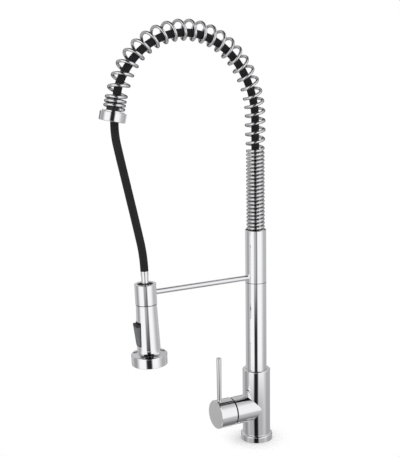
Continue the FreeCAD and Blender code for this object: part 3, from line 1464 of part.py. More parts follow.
def trigger_bezel():
    """A dark frame in the shell's opening, a little proud of the shell."""
    body = new_body("trigger_bezel")
    low, high = WINDOW_LOW - d.bezel_wall, WINDOW_TOP + d.bezel_wall
    inner, span = d.shell_bore / 2, FLARE_RADIUS * 2
    turned(body, ((inner, low), (bezel_radius(low), low), (bezel_radius(high), high), (inner, high)))
    opening = new_sketch(body, "XZ_Plane")
    draw_outline(opening, box_outline(d.window_width, WINDOW_LOW, WINDOW_TOP))
    pocket(body, opening, span, back=True)
    behind = new_sketch(body, "XZ_Plane")
    draw_outline(behind, box_outline(span, low, high))
    pocket(body, behind, span)
    outer = d.window_width / 2 + d.bezel_wall
    for side in (1, -1):
        beside = new_sketch(body, "XZ_Plane")
        near, far = outer * side, span * side
        draw_outline(beside, ((near, low), (far, low), (far, high), (near, high)))
        pocket(body, beside, span, back=True)
    place_on_head(body)


TIP_REACH = TRIGGER_BACK - d.fit_gap
RIM_REACH = TIP_REACH - d.diverter_tip_length
RIM_BACK = RIM_REACH - d.diverter_rim_thick
RETURN_RADIUS = d.diverter_diameter / 2 + d.return_gap + d.return_wire / 2


def diverter_pin():
    """The pin that the trigger pushes in to change the spray."""
    body = new_body("diverter_pin")
    start = POCKET_REACH - d.diverter_engage
    pin, tip = d.diverter_diameter / 2, d.diverter_tip_diameter / 2
    rim = RETURN_RADIUS + d.return_wire / 2 + d.return_rim
    turned(body, (
        (0, start), (pin, start), (pin, RIM_BACK), (rim, RIM_BACK), (rim, RIM_REACH), (tip, RIM_REACH),
        (tip, TIP_REACH), (0, TIP_REACH)))
    place_on_head(body, DIVERTER_HEIGHT, 90)


def return_spring():
    """A small coil between the core and the diverter pin's rim, about its own Z axis."""
    wire, turns = d.return_wire.value, d.return_turns.value
    room = wire / 2 + d.fit_gap.value
    start, end = POCKET_REACH.value + room, RIM_BACK.value - room

    def point_at(turn):
        angle = 2 * math.pi * turn
        radius = RETURN_RADIUS.value
        height = start + (end - start) * turn / turns
        return FreeCAD.Vector(math.cos(angle) * radius, math.sin(angle) * radius, height)

    piece = add_winding("return_spring", point_at, turns, wire)
    place_on_head(piece, DIVERTER_HEIGHT, 90)


def check_and_write():
    """Stops at any failed object or bad solid, then writes one file per piece."""
    doc.recompute()
    for item in doc.Objects:
        if "Invalid" in item.State or "Error" in item.State:
            raise RuntimeError(f"{item.Label} failed: {item.State}")
    for piece in pieces:
        shape = piece.Shape
        if shape.isNull() or not shape.isValid() or not shape.Solids:
            raise RuntimeError(f"{piece.Label} has no valid solid")
    os.makedirs("parts", exist_ok=True)
    for piece in pieces:
        piece.Shape.exportStep(f"parts/{piece.Label}.step")
    print(f"{len(pieces)} pieces written")


def main():
    for build in (
            base_flange, base_gasket, mixer_body,
            lower_swivel_bush, upper_swivel_bush, swivel_seals, swivel_screw,
            riser_tube, joint_ring, upper_sleeve, arm_rod, head_holder, holder_liner,
            cartridge_base, port_seals, fixed_disc, moving_disc, disc_carrier, rotor, stem_pin, stem,
            cartridge_housing, cartridge_nut, dome_cover,
            handle_cap, lever_pin, set_screw, screw_plug,
            spout_spring, hose_tail, hose_inner, hose_free, spring_collar, guide_bush, hose_ferrule,
            head_shell, head_core, head_nut, hose_washer, check_valve,
            spray_face, nozzle_plate, aerator,
            trigger, trigger_pin, trigger_bezel, diverter_pin, return_spring):
        build()
    check_and_write()


main()
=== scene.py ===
"""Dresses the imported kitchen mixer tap: its hose, springs and finishes, and a plain studio round it."""

import bisect
import math

import bmesh
import bpy
from bpy.props import FloatProperty, FloatVectorProperty, IntProperty, PointerProperty
from mathutils import Matrix, Vector


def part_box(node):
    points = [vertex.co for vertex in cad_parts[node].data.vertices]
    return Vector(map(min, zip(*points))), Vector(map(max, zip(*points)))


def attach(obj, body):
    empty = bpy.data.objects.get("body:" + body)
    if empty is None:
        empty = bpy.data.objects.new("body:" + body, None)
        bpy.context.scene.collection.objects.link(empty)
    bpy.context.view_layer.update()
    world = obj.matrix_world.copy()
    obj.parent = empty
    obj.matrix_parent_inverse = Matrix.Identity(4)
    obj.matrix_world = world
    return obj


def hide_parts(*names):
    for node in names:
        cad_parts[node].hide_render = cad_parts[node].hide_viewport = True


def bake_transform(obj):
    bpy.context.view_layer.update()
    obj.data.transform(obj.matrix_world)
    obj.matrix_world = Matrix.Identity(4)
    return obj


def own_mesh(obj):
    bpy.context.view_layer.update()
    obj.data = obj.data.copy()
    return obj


bl_info = {
    "name": "Spring-spout mixer tap",
    "version": (1, 0, 0),
    "blender": (4, 5, 0),
    "location": "View3D > Sidebar > Tap",
    "description": "Builds the hose, springs, finishes and studio of a pull-out kitchen mixer tap",
    "category": "Object",
}

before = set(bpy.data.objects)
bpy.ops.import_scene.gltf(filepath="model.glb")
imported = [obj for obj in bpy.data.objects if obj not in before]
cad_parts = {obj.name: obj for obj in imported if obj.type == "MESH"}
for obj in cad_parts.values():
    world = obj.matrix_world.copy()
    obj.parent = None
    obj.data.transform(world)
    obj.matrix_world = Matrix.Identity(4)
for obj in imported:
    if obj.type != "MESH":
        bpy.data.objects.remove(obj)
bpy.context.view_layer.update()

# Heights on the imported part, in metres; between two of them the spring's wire starts to get painted shade,
# a dark edge painted into its colour
SLEEVE_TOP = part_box("upper_sleeve")[1].z
PAINTED_OUTLINE_LOW = SLEEVE_TOP + 0.1135
PAINTED_OUTLINE_HIGH = SLEEVE_TOP + 0.1195
VALVE_HEIGHT = 0.0515

# The spray head's axis leans about the arm's end in the holder's wall
HEAD_LEAN = math.radians(2.0)
ARM_END = Vector((0, -0.1701, 0.2568))
ARM_GRIP = 0.0146
FERRULE_TOP = 0.2900
FACE_LOW = 0.1530
DIVERTER_HEIGHT = 0.2101
# Above SEAM_LOW the spray head's chrome gets painted shade, a dark ring for the shadow in the gap under the
# holder; SEAM_BLUR softens its edge
SEAM_LOW = 0.2413
SEAM_BLUR = 0.00005

# The free hose's route: shares of the way across that are left, and of the drop that is done
FREE_ROUTE = ((0.831, 0.278), (0.530, 0.504), (0.246, 0.720))

# Corners of the arch's two bends, and how finely lines and bars are divided
FIRST_CORNERS = 2
SECOND_CORNERS = 4
SPRING_LINE_STEPS = 60
HOSE_LINE_STEPS = 24
WIRE_STEPS = 28
WIRE_SIDES = 14
HOSE_SIDES = 32
RETURN_STEPS = 20
RETURN_SIDES = 8
SCREEN_STEPS = 24
SCREEN_SIDES = 6
STUDIO_SIDES = 96

# The photograph's camera: its right, up and forward ways
CAMERA_RIGHT = Vector((0.4888, 0.8723, -0.0149))
CAMERA_UP = Vector((-0.1581, 0.1054, 0.9818))
CAMERA_FORWARD = Vector((-0.8580, 0.4775, -0.1894))


# Settings

def length(name, words, default):
    return FloatProperty(name=name, description=words, default=default, unit="LENGTH", subtype="DISTANCE")


def angle(name, words, degrees):
    return FloatProperty(name=name, description=words, default=math.radians(degrees), subtype="ANGLE")


def colour(name, words, default):
    return FloatVectorProperty(name=name, description=words, default=default, subtype="COLOR", min=0, max=1)


def spot(name, words, default):
    return FloatVectorProperty(name=name, description=words, default=default, subtype="XYZ")


def share(name, words, default):
    return FloatProperty(name=name, description=words, default=default, min=0, max=1, subtype="FACTOR")


def count(name, words, default):
    return IntProperty(name=name, description=words, default=default, min=1)


class TapArchSettings(bpy.types.PropertyGroup):
    """The line that the spout's spring and hose follow."""

    start: length("Start", "Height above the deck where the arch begins", SLEEVE_TOP + 0.1665)
    first_radius: length("First radius", "Rising part of the arch", 0.1328)
    first_turn: angle("First turn", "Rising part of the arch", 51.2)
    second_radius: length("Second radius", "Top and falling part of the arch", 0.1067)
    second_turn: angle("Second turn", "Top and falling part of the arch", 116.8)


class TapSpringSettings(bpy.types.PropertyGroup):
    """The spout's spring and the trigger's return spring."""

    wire: length("Wire", "Diameter of the spout spring's wire", 0.0044)
    close_diameter: length("Close turns", "Outside diameter above the sleeve", 0.0274)
    open_diameter: length("Open turns", "Outside diameter over the arch", 0.0306)
    close_turns: count("Close turns", "Turns above the sleeve", 23)
    widening_turns: count("Widening turns", "Turns over which the spring widens", 2)
    rise_turns: count("Rising turns", "Wider turns up to the arch", 6)
    open_turns: count("Open turns", "Turns over the arch", 19)
    end_turns: count("End turns", "Close turns at the collar", 3)
    close_gap: length("Close gap", "Wire to wire in the close turns", 0.0011)
    rise_gap: length("Rising gap", "Wire to wire in the turns up to the arch", 0.0092)
    seat: length("Seat", "Depth of the spring's foot in the sleeve", 0.0073)
    end_run: length("End run", "Straight axis from the arch's end to the spring's end", 0.0199)
    return_wire: length("Return wire", "Diameter of the return spring's wire", 0.0004)
    return_radius: length("Return radius", "Return spring's axis to its wire", 0.0024)
    return_start: length("Return start", "Head's axis to the return spring", 0.0062)
    return_end: length("Return end", "Head's axis to the return spring's end", 0.0114)
    return_turns: count("Return turns", "Turns of the return spring", 3)


class TapHoseSettings(bpy.types.PropertyGroup):
    """The hose inside the spring and its free end."""

    diameter: length("Diameter", "Outside of the hose", 0.0115)
    foot: length("Foot", "Depth of the hose's foot in the sleeve", 0.005)
    sag: length("Sag", "Hose's arch below the spring's arch", 0.004)
    exit_radius: length("Exit radius", "Hose's bend in the collar", 0.206)
    exit_turn: angle("Exit turn", "Hose's bend in the collar", 6.4)
    first_run: length("First run", "Free hose straight on from the hose in the spring", 0.0219)
    last_run: length("Last run", "Free hose straight above its ferrule", 0.022)
    free_length: length("Free length", "Hose between the collar and the ferrule", 0.2263)


class TapScreenSettings(bpy.types.PropertyGroup):
    """The woven screen across the aerator's mouth."""

    radius: length("Radius", "Middle of the screen to its edge", 0.0070)
    pitch: length("Pitch", "Wire to wire", 0.0011)
    wire_radius: length("Wire radius", "Half of the wire's thickness", 0.00016)
    height: length("Height", "Screen above the spray face's lower edge", 0.0022)


class TapFinishSettings(bpy.types.PropertyGroup):
    """Colours and gloss of the finishes."""

    chrome: colour("Chrome", "Polished plating", (0.943, 0.943, 0.962))
    chrome_roughness: share("Chrome roughness", "Polished plating", 0.035)
    spun: colour("Spun face", "Brushed end face of the handle", (0.923, 0.923, 0.942))
    black: colour("Black plastic", "Ring, guide bush, bezel, cartridge and head core", (0.014, 0.014, 0.016))
    grey: colour("Grey plastic", "Trigger, plug, spray face and aerator", (0.085, 0.087, 0.092))
    liner: colour("Liner", "Holder's liner and swivel bushes", (0.5, 0.5, 0.5))
    rubber: colour("Hose rubber", "Hose", (0.015, 0.015, 0.0166))
    seal: colour("Seal rubber", "Gasket, seals and nozzles", (0.05, 0.05, 0.052))
    brass: colour("Brass", "Turned fittings", (0.62, 0.43, 0.17))
    steel: colour("Steel", "Pins, screws and screen", (0.56, 0.57, 0.58))
    ceramic: colour("Ceramic", "Valve discs", (0.86, 0.84, 0.79))


class TapStageSettings(bpy.types.PropertyGroup):
    """Studio and camera."""

    lens: FloatProperty(name="Lens", description="Camera's focal length in millimetres", default=78.05)
    camera: spot("Camera", "Camera's place", (1.2295, -0.7784, 0.6121))
    shift: FloatProperty(name="Shift", description="Sideways shift of the framing", default=-0.0012)
    white: FloatProperty(name="White", description="Level of the studio's light", default=1.0, min=0)
    lamp: spot("Lamp", "Lamp's place", (0.35, -1.1, 1.35))
    lamp_aim: spot("Lamp's aim", "Place that the lamp faces", (0, -0.08, 0.3))
    lamp_size: length("Lamp size", "Diameter of the lamp", 0.7)
    lamp_power: FloatProperty(name="Lamp power", description="Lamp's power in watts", default=2.0, min=0)
    floor: colour("Floor", "Floor under the tap", (0.97, 0.97, 0.97))
    floor_size: length("Floor size", "Radius at which the floor has faded into the surround", 0.06)
    floor_edge: length("Floor edge", "Radius of the floor's edge", 0.066)
    floor_fade: length("Floor fade", "Radius at which the floor begins to fade", 0.012)
    floor_drop: length("Floor drop", "Floor below the deck face", 0.0003)
    wall_distance: length("Wall distance", "Column to the studio's round wall", 1.4)
    wall_height: length("Wall height", "Middle of the studio's wall above the deck", 0.25)
    wall_span: length("Wall span", "Height of the studio's wall", 16.8)


class TapSettings(bpy.types.PropertyGroup):
    """All settings of the tap."""

    arch: PointerProperty(type=TapArchSettings)
    spring: PointerProperty(type=TapSpringSettings)
    hose: PointerProperty(type=TapHoseSettings)
    screen: PointerProperty(type=TapScreenSettings)
    finish: PointerProperty(type=TapFinishSettings)
    stage: PointerProperty(type=TapStageSettings)


def settings():
    return bpy.context.scene.tap


# Node building

class Value:
    """A node's output that can be used in Python sums."""

    def __init__(self, nodes, socket):
        self.nodes = nodes
        self.socket = socket

    def math(self, operation, *values):
        return self.nodes.add("ShaderNodeMath", {"operation": operation}, dict(enumerate(values)))

    def __add__(self, other):
        return self.math("ADD", self, other)

    def __radd__(self, other):
        return self.math("ADD", other, self)

    def __sub__(self, other):
        return self.math("SUBTRACT", self, other)

    def __rsub__(self, other):
        return self.math("SUBTRACT", other, self)

    def __mul__(self, other):
        return self.math("MULTIPLY", self, other)

    def __rmul__(self, other):
        return self.math("MULTIPLY", other, self)

    def __neg__(self):
        return self.math("MULTIPLY", self, -1.0)

    def __abs__(self):
        return self.math("ABSOLUTE", self)

    def root(self):
        return self.math("SQRT", self)

    def sine(self):
        return self.math("SINE", self)

    def angle(self, other):
        """The angle whose tangent is this over another."""
        return self.math("ARCTAN2", self, other)


class Nodes:
    """Adds nodes to a material or a world."""

    def __init__(self, owner):
        owner.use_nodes = True
        self.tree = owner.node_tree
        self.tree.nodes.clear()

    def add(self, kind, options=None, inputs=None, output=0):
        """A node of a kind, with its options and the values or links of its sockets."""
        node = self.tree.nodes.new(kind)
        for name, option in (options or {}).items():
            setattr(node, name, option)
        for name, value in (inputs or {}).items():
            self.feed(node.inputs[name], value)
        return Value(self, node.outputs[output]) if node.outputs else node

    def feed(self, socket, value):
        if isinstance(value, Value):
            self.tree.links.new(value.socket, socket)
        elif socket.type == "RGBA":
            socket.default_value = (*value[:3], 1.0)
        else:
            socket.default_value = value

    def place(self):
        """Object coordinates, in metres."""
        return self.add("ShaderNodeTexCoord", output="Object")

    def parts(self, vector):
        """The three numbers of a vector."""
        split = self.add("ShaderNodeSeparateXYZ", inputs={0: vector})
        return [Value(self, socket) for socket in split.socket.node.outputs]

    def vector(self, x, y=0.0):
        return self.add("ShaderNodeCombineXYZ", {}, {"X": x, "Y": y})

    def stretch(self, vector, scale):
        return self.add("ShaderNodeVectorMath", {"operation": "MULTIPLY"}, {0: vector, 1: scale})

    def step(self, value, low, high):
        """Rises smoothly from 0 at low to 1 at high."""
        options = {"interpolation_type": "SMOOTHSTEP"}
        return self.add("ShaderNodeMapRange", options, {"Value": value, "From Min": low, "From Max": high})

    def noise(self, vector, scale, detail):
        return self.add("ShaderNodeTexNoise", {}, {"Vector": vector, "Scale": scale, "Detail": detail})

    def mix(self, factor, first, second):
        """A colour between two others."""
        return self.add("ShaderNodeMix", {"data_type": "RGBA"}, {0: factor, 6: first, 7: second}, output=2)

    def bump(self, height, distance, strength):
        return self.add("ShaderNodeBump", {}, {"Strength": strength, "Distance": distance, "Height": height})

    def ray(self, kind):
        """1 for rays of a kind, else 0."""
        return self.add("ShaderNodeLightPath", output="Is %s Ray" % kind)

    def blend(self, factor, first, second):
        """A shader between two others."""
        return self.add("ShaderNodeMixShader", {}, {0: factor, 1: first, 2: second})

    def surface(self, sockets):
        """The material's surface, by the sockets of its shader."""
        self.output(self.add("ShaderNodeBsdfPrincipled", {}, sockets))

    def output(self, shader, kind="Material"):
        self.add("ShaderNodeOutput" + kind, {}, {"Surface": shader})


def spread(amount, low, high):
    """A number that goes from low to high as an amount goes from 0 to 1."""
    return low + amount * (high - low)


def layered(*shades):
    """What several shades over one another hide together."""
    kept = 1 - shades[0]
    for shade in shades[1:]:
        kept = kept * (1 - shade)
    return 1 - kept


# Finishes: noise is in waves per metre, relief in metres

FINISH_PREFIX = "tap_"
CHROME_DULLING = 0.02
SEAMED_DULLING = 0.03
SMUDGED_SHADE = 0.95
SMUDGED_WIRE_SHADE = 0.85
# Painted shade: how dark the painted shadow round the spray head's top is
PAINTED_SEAM_SHADOW = 0.04
# Painted shade: how dark the painted rim of the spring's open turns is
WIRE_PAINTED_EDGE_SHADE = 0.16
WIRE_EDGE_TINT = (0.3, 0.3, 0.3)
BRUSH_LINES = 3800.0
THUMB_RIBS = 5200.0
THUMB_LENGTH = 0.0052
THUMB_FULL = 0.0036
THUMB_FRAY = 0.0004
THUMB_RIB_RELIEF = 0.8
THUMB_GRAIN_RELIEF = 0.2
TRIGGER_SHADE = 1.5
HOSE_LINES = 40
HOSE_LINE_RELIEF = 0.25
HOSE_WANDER_RELIEF = 0.35
HOSE_GRAIN_RELIEF = 0.4
HOSE_GRAIN_DULLING = 0.08
WANDER_AROUND = 30.0
WANDER_ALONG = 20.0
RUBBER_IOR = 1.25
LATHE_STRETCH = (60.0, 2400.0, 2400.0)
LATHE_DULLING = 0.06
TARNISH_DULLING = 0.1


def scaled(shade, factor):
    return tuple(min(part * factor, 1.0) for part in shade)


def new_finish(name):
    material = bpy.data.materials.new(FINISH_PREFIX + name)
    return material, Nodes(material)


def shaded(nodes, amount, shade, low, high):
    """A colour that goes from low to high times a shade as an amount goes from 0 to 1."""
    return nodes.mix(amount, scaled(shade, low), scaled(shade, high))


def smudged(nodes, smudge, factor=SMUDGED_SHADE):
    """The chrome's colour, duller where it has been handled."""
    return shaded(nodes, smudge, settings().finish.chrome, low=1.0, high=factor)


def handling_smudges(nodes, place):
    return nodes.noise(place, scale=34.0, detail=4.0)


def polishing_waves(nodes, place):
    return nodes.bump(nodes.noise(place, scale=160.0, detail=1.0), distance=0.000005, strength=0.2)


def mould_grain(nodes, place):
    return nodes.noise(place, scale=2600.0, detail=2.0)


def polished_chrome():
    """Plating with faint handling smudges and polishing waves."""
    material, nodes = new_finish("polished_chrome")
    place = nodes.place()
    smudge = handling_smudges(nodes, place)
    haze = nodes.step(nodes.noise(place, scale=90.0, detail=3.0), low=0.52, high=0.74)
    nodes.surface({
        "Base Color": smudged(nodes, smudge),
        "Metallic": 1.0,
        "Roughness": settings().finish.chrome_roughness + (smudge + haze) * CHROME_DULLING,
        "Normal": polishing_waves(nodes, place)})
    return material


def painted_seam_shadow_chrome():
    """Chrome with a painted shadow, a dark ring of painted shade, round the spray head's top where the
    holder meets it, by the height along its leaning axis.
    """
    finish = settings().finish
    material, nodes = new_finish("painted_seam_shadow_chrome")
    place = nodes.place()
    y, z = nodes.parts(place)[1:]
    along = (z - ARM_END.z) * math.cos(HEAD_LEAN) - (y - ARM_END.y) * math.sin(HEAD_LEAN)
    seam_height = SEAM_LOW - ARM_END.z
    # Painted shade: dark above the gap's height, for the shadow in the gap under the holder
    painted_gap_shadow = nodes.step(along, seam_height - SEAM_BLUR, seam_height + SEAM_BLUR)
    smudge = handling_smudges(nodes, place)
    nodes.surface({
        "Base Color": nodes.mix(painted_gap_shadow, smudged(nodes, smudge), scaled(finish.chrome, PAINTED_SEAM_SHADOW)),
        "Metallic": 1.0,
        "Roughness": finish.chrome_roughness + smudge * SEAMED_DULLING,
        "Normal": polishing_waves(nodes, place)})
    return material


def sprung_chrome():
    """Plated wire with faint drawing lines along it; where the turns are open, painted shade darkens its
    colour at the edges that turn away from view, a painted dark rim.
    """
    finish = settings().finish
    material, nodes = new_finish("sprung_chrome")
    place = nodes.place()
    height = nodes.parts(place)[2]
    drawn = nodes.noise(place, scale=900.0, detail=2.0)
    smudge = nodes.noise(place, scale=60.0, detail=3.0)
    # Painted shade: the wire's colour darkens where its surface turns away from view, on the open turns only
    turned_away = nodes.add("ShaderNodeLayerWeight", {}, {"Blend": 0.5}, output="Facing")
    edge = nodes.step(turned_away, low=0.45, high=0.9)
    open_turns = nodes.step(height, PAINTED_OUTLINE_LOW, PAINTED_OUTLINE_HIGH)
    painted_outline_shade = shaded(nodes, open_turns, finish.chrome, low=1.0, high=WIRE_PAINTED_EDGE_SHADE)
    nodes.surface({
        "Base Color": nodes.mix(edge, smudged(nodes, smudge, SMUDGED_WIRE_SHADE), painted_outline_shade),
        "Metallic": 1.0,
        "Specular Tint": WIRE_EDGE_TINT,
        "Roughness": finish.chrome_roughness + spread(drawn, low=0.02, high=0.06),
        "Normal": nodes.bump(drawn, distance=0.00001, strength=0.2)})
    return material


def spun_chrome():
    """Chrome whose flat end face is brushed in rings about the valve's axis."""
    finish = settings().finish
    material, nodes = new_finish("spun_chrome")
    place = nodes.place()
    x, z = nodes.parts(place)[::2]
    height = z - VALVE_HEIGHT
    ring = (x * x + height * height).root()
    brushed = nodes.noise(nodes.vector(ring * BRUSH_LINES), scale=1.0, detail=3.0)
    outward = -nodes.parts(nodes.add("ShaderNodeTexCoord", output="Normal"))[1]
    face = nodes.step(outward, low=0.95, high=0.985)
    smudge = nodes.noise(place, scale=40.0, detail=3.0)
    rings = shaded(nodes, brushed, finish.spun, low=0.92, high=1.08)
    polish = finish.chrome_roughness + smudge * CHROME_DULLING
    satin = spread(brushed, low=0.26, high=0.40)
    nodes.surface({
        "Base Color": nodes.mix(face, smudged(nodes, smudge), rings),
        "Metallic": 1.0,
        "Roughness": polish * (1 - face) + satin * face,
        "Normal": nodes.bump(brushed * face, distance=0.00003, strength=0.5)})
    return material


def moulded_plastic(name, shade, roughness):
    """Plastic with a fine moulded grain and a faint change of shade."""
    material, nodes = new_finish(name)
    place = nodes.place()
    grain = mould_grain(nodes, place)
    cloud = nodes.noise(place, scale=55.0, detail=3.0)
    nodes.surface({
        "Base Color": shaded(nodes, cloud, shade, low=0.85, high=1.15),
        "Roughness": roughness + spread(grain, low=-0.05, high=0.07),
        "Normal": nodes.bump(grain, distance=0.00004, strength=0.35)})
    return material


def black_plastic():
    return moulded_plastic("black_plastic", settings().finish.black, roughness=0.42)


def grey_plastic():
    return moulded_plastic("grey_plastic", settings().finish.grey, roughness=0.38)


def pale_plastic():
    return moulded_plastic("pale_plastic", settings().finish.liner, roughness=0.4)


def seal_rubber():
    return moulded_plastic("seal_rubber", settings().finish.seal, roughness=0.62)


def trigger_plastic():
    """Grey plastic that is black and ribbed at the thumb's end."""
    finish = settings().finish
    material, nodes = new_finish("trigger_plastic")
    place = nodes.place()
    grain = mould_grain(nodes, place)
    height = nodes.parts(place)[2]
    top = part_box("trigger")[1].z
    thumb = nodes.step(height + grain * THUMB_FRAY, top - THUMB_LENGTH, top - THUMB_FULL)
    ribs = (height * THUMB_RIBS).sine() * thumb
    relief = ribs * THUMB_RIB_RELIEF + grain * THUMB_GRAIN_RELIEF
    nodes.surface({
        "Base Color": nodes.mix(thumb, scaled(finish.grey, TRIGGER_SHADE), finish.black),
        "Roughness": spread(grain, low=0.36, high=0.46),
        "Normal": nodes.bump(relief, distance=0.00012, strength=0.5)})
    return material


def hose_rubber():
    """Extruded rubber: fine lines along the hose and a dusty grain."""
    rubber = settings().finish.rubber
    material, nodes = new_finish("hose_rubber")
    place = nodes.place()
    around, along = nodes.parts(nodes.add("ShaderNodeUVMap", {"uv_map": "wrap"}))[:2]
    grain = nodes.noise(place, scale=1500.0, detail=3.0)
    dust = nodes.noise(place, scale=70.0, detail=4.0)
    lines = (around * (math.tau * HOSE_LINES)).sine()
    skin = nodes.vector(around * WANDER_AROUND, along * WANDER_ALONG)
    wander = nodes.noise(skin, scale=1.0, detail=2.0)
    relief = lines * HOSE_LINE_RELIEF + wander * HOSE_WANDER_RELIEF + grain * HOSE_GRAIN_RELIEF
    nodes.surface({
        "Base Color": shaded(nodes, dust, rubber, low=0.8, high=1.5),
        "Roughness": spread(dust, low=0.5, high=0.64) + grain * HOSE_GRAIN_DULLING,
        "IOR": RUBBER_IOR,
        "Normal": nodes.bump(relief, distance=0.00012, strength=0.4)})
    return material


def turned_metal(name, shade, roughness):
    """Metal with the rings that a lathe leaves."""
    material, nodes = new_finish(name)
    place = nodes.place()
    rings = nodes.noise(nodes.stretch(place, LATHE_STRETCH), scale=1.0, detail=2.0)
    tarnish = nodes.noise(place, scale=80.0, detail=4.0)
    nodes.surface({
        "Base Color": shaded(nodes, tarnish, shade, low=0.82, high=1.1),
        "Metallic": 1.0,
        "Roughness": roughness + tarnish * TARNISH_DULLING + rings * LATHE_DULLING,
        "Normal": nodes.bump(rings, distance=0.00003, strength=0.4)})
    return material


def turned_brass():
    return turned_metal("turned_brass", settings().finish.brass, roughness=0.2)


def plain_steel():
    return turned_metal("plain_steel", settings().finish.steel, roughness=0.18)


def lapped_ceramic():
    """Lapped ceramic with faint specks."""
    ceramic = settings().finish.ceramic
    material, nodes = new_finish("lapped_ceramic")
    speck = nodes.step(nodes.noise(nodes.place(), scale=1200.0, detail=1.0), low=0.62, high=0.72)
    nodes.surface({
        "Base Color": shaded(nodes, speck, ceramic, low=1.0, high=0.9),
        "Roughness": spread(speck, low=0.12, high=0.22)})
    return material


def finish_once(make):
    """A finish that is made the first time it is asked for."""
    return bpy.data.materials.get(FINISH_PREFIX + make.__name__) or make()


def dress(names, make):
    """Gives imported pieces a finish."""
    for name in names:
        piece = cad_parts[name]
        piece.data.materials.clear()
        piece.data.materials.append(finish_once(make))


# Lines and bars

def spline_points(name, corners, steps):
    """Points along a smooth line, by the corners of its tangents."""
    curve = bpy.data.curves.new(name, "CURVE")
    curve.dimensions = "3D"
    spline = curve.splines.new("NURBS")
    spline.points.add(len(corners) - 1)
    for point, corner in zip(spline.points, corners):
        point.co = (*corner, 1.0)
    spline.order_u = 3
    spline.use_endpoint_u = True
    spline.resolution_u = steps
    holder = bpy.data.objects.new(name, curve)
    mesh = bpy.data.meshes.new_from_object(holder)
    points = [vertex.co.copy() for vertex in mesh.vertices]
    bpy.data.objects.remove(holder)
    bpy.data.curves.remove(curve)
    bpy.data.meshes.remove(mesh)
    return points


def ways_along(points):
    """The way at each point, from the point before to the point after."""
    last = len(points) - 1
    ways = []
    for index in range(last + 1):
        ways.append((points[min(index + 1, last)] - points[max(index - 1, 0)]).normalized())
    return ways


class Line:
    """A smooth line that can be followed by distance."""

    def __init__(self, name, corners, steps):
        self.points = spline_points(name, corners, steps)
        self.ways = ways_along(self.points)
        self.distances = [0.0]
        for first, second in zip(self.points, self.points[1:]):
            self.distances.append(self.distances[-1] + (second - first).length)
        self.length = self.distances[-1]

    def at(self, distance):
        """The point and the way at a distance along the line."""
        high = min(bisect.bisect_right(self.distances, distance), len(self.distances) - 1)
        low = high - 1
        part = (distance - self.distances[low]) / (self.distances[high] - self.distances[low])
        point = self.points[low].lerp(self.points[high], part)
        return point, self.ways[low].lerp(self.ways[high], part).normalized()


def new_piece(name, builder, material):
    mesh = bpy.data.meshes.new(name)
    builder.to_mesh(mesh)
    builder.free()
    mesh.materials.append(material)
    piece = bpy.data.objects.new(name, mesh)
    bpy.context.scene.collection.objects.link(piece)
    return piece


def bar_rings(builder, points, radius, sides):
    """Rings of points square to the way along a line of points."""
    rings = []
    across = None
    for point, way in zip(points, ways_along(points)):
        across = across or way.orthogonal()
        across = (across - way * across.dot(way)).normalized()
        beside = way.cross(across)
        ring = []
        for side in range(sides):
            turn = math.tau * side / sides
            outward = across * math.cos(turn) + beside * math.sin(turn)
            ring.append(builder.verts.new(point + outward * radius))
        rings.append(ring)
    return rings


def add_bar(builder, points, radius, sides):
    """A round bar along points, wrapped with coordinates round it and along it in metres."""
    wrap = builder.loops.layers.uv.get("wrap") or builder.loops.layers.uv.new("wrap")
    rings = bar_rings(builder, points, radius, sides)
    along = 0.0
    for index in range(len(rings) - 1):
        here, there = rings[index], rings[index + 1]
        onward = along + (points[index + 1] - points[index]).length
        for side in range(sides):
            after = (side + 1) % sides
            face = builder.faces.new((here[side], here[after], there[after], there[side]))
            face.smooth = True
            spots = ((side, along), (side + 1, along), (side + 1, onward), (side, onward))
            for loop, (turn, distance) in zip(face.loops, spots):
                loop[wrap].uv = (turn / sides, distance)
        along = onward
    builder.faces.new(reversed(rings[0]))
    builder.faces.new(rings[-1])


def bar_piece(name, points, radius, sides, material):
    builder = bmesh.new()
    add_bar(builder, points, radius, sides)
    return new_piece(name, builder, material)


def on_head(x, y, z):
    """A place given from the spray head's leaning axis."""
    return ARM_END + Matrix.Rotation(HEAD_LEAN, 3, "X") @ Vector((x, y - ARM_GRIP, z - ARM_END.z))


# Spout spring and hose

def heading_way(heading):
    """A way in the spout's plane, by its angle from straight up towards the spray head."""
    return Vector((0, -math.sin(heading), math.cos(heading)))


def tangent_reach(radius, turn, parts):
    """From a bend to the corners of its tangents, when it is divided into parts."""
    return radius * math.tan(turn / parts / 2)


def arch_corners(low, drop=0.0):
    """Corners of the arch's tangents, from a foot straight below, and the place and way of its end."""
    arch = settings().arch
    bends = (
        (arch.first_radius, arch.first_turn, FIRST_CORNERS),
        (arch.second_radius, arch.second_turn, SECOND_CORNERS))
    start = arch.start - drop
    lead = tangent_reach(*bends[0])
    corners = [Vector((0, 0, low)), Vector((0, 0, start - lead))]
    point, heading = Vector((0, 0, start)), 0.0
    for radius, turn, parts in bends:
        reach = tangent_reach(radius, turn, parts)
        for _ in range(parts):
            point = point + heading_way(heading) * reach
            corners.append(point)
            heading += turn / parts
            point = point + heading_way(heading) * reach
    return corners, point, heading


def spring_line():
    spring = settings().spring
    corners, end, heading = arch_corners(SLEEVE_TOP - spring.seat)
    corners.append(end + heading_way(heading) * spring.end_run)
    return Line("spring_line", corners, SPRING_LINE_STEPS)


def hose_line():
    hose = settings().hose
    corners, end, heading = arch_corners(SLEEVE_TOP - hose.foot, hose.sag)
    reach = hose.exit_radius * math.tan(hose.exit_turn / 2)
    bend = end + heading_way(heading) * reach
    corners += [bend, bend + heading_way(heading + hose.exit_turn) * reach]
    return Line("hose_line", corners, HOSE_LINE_STEPS)


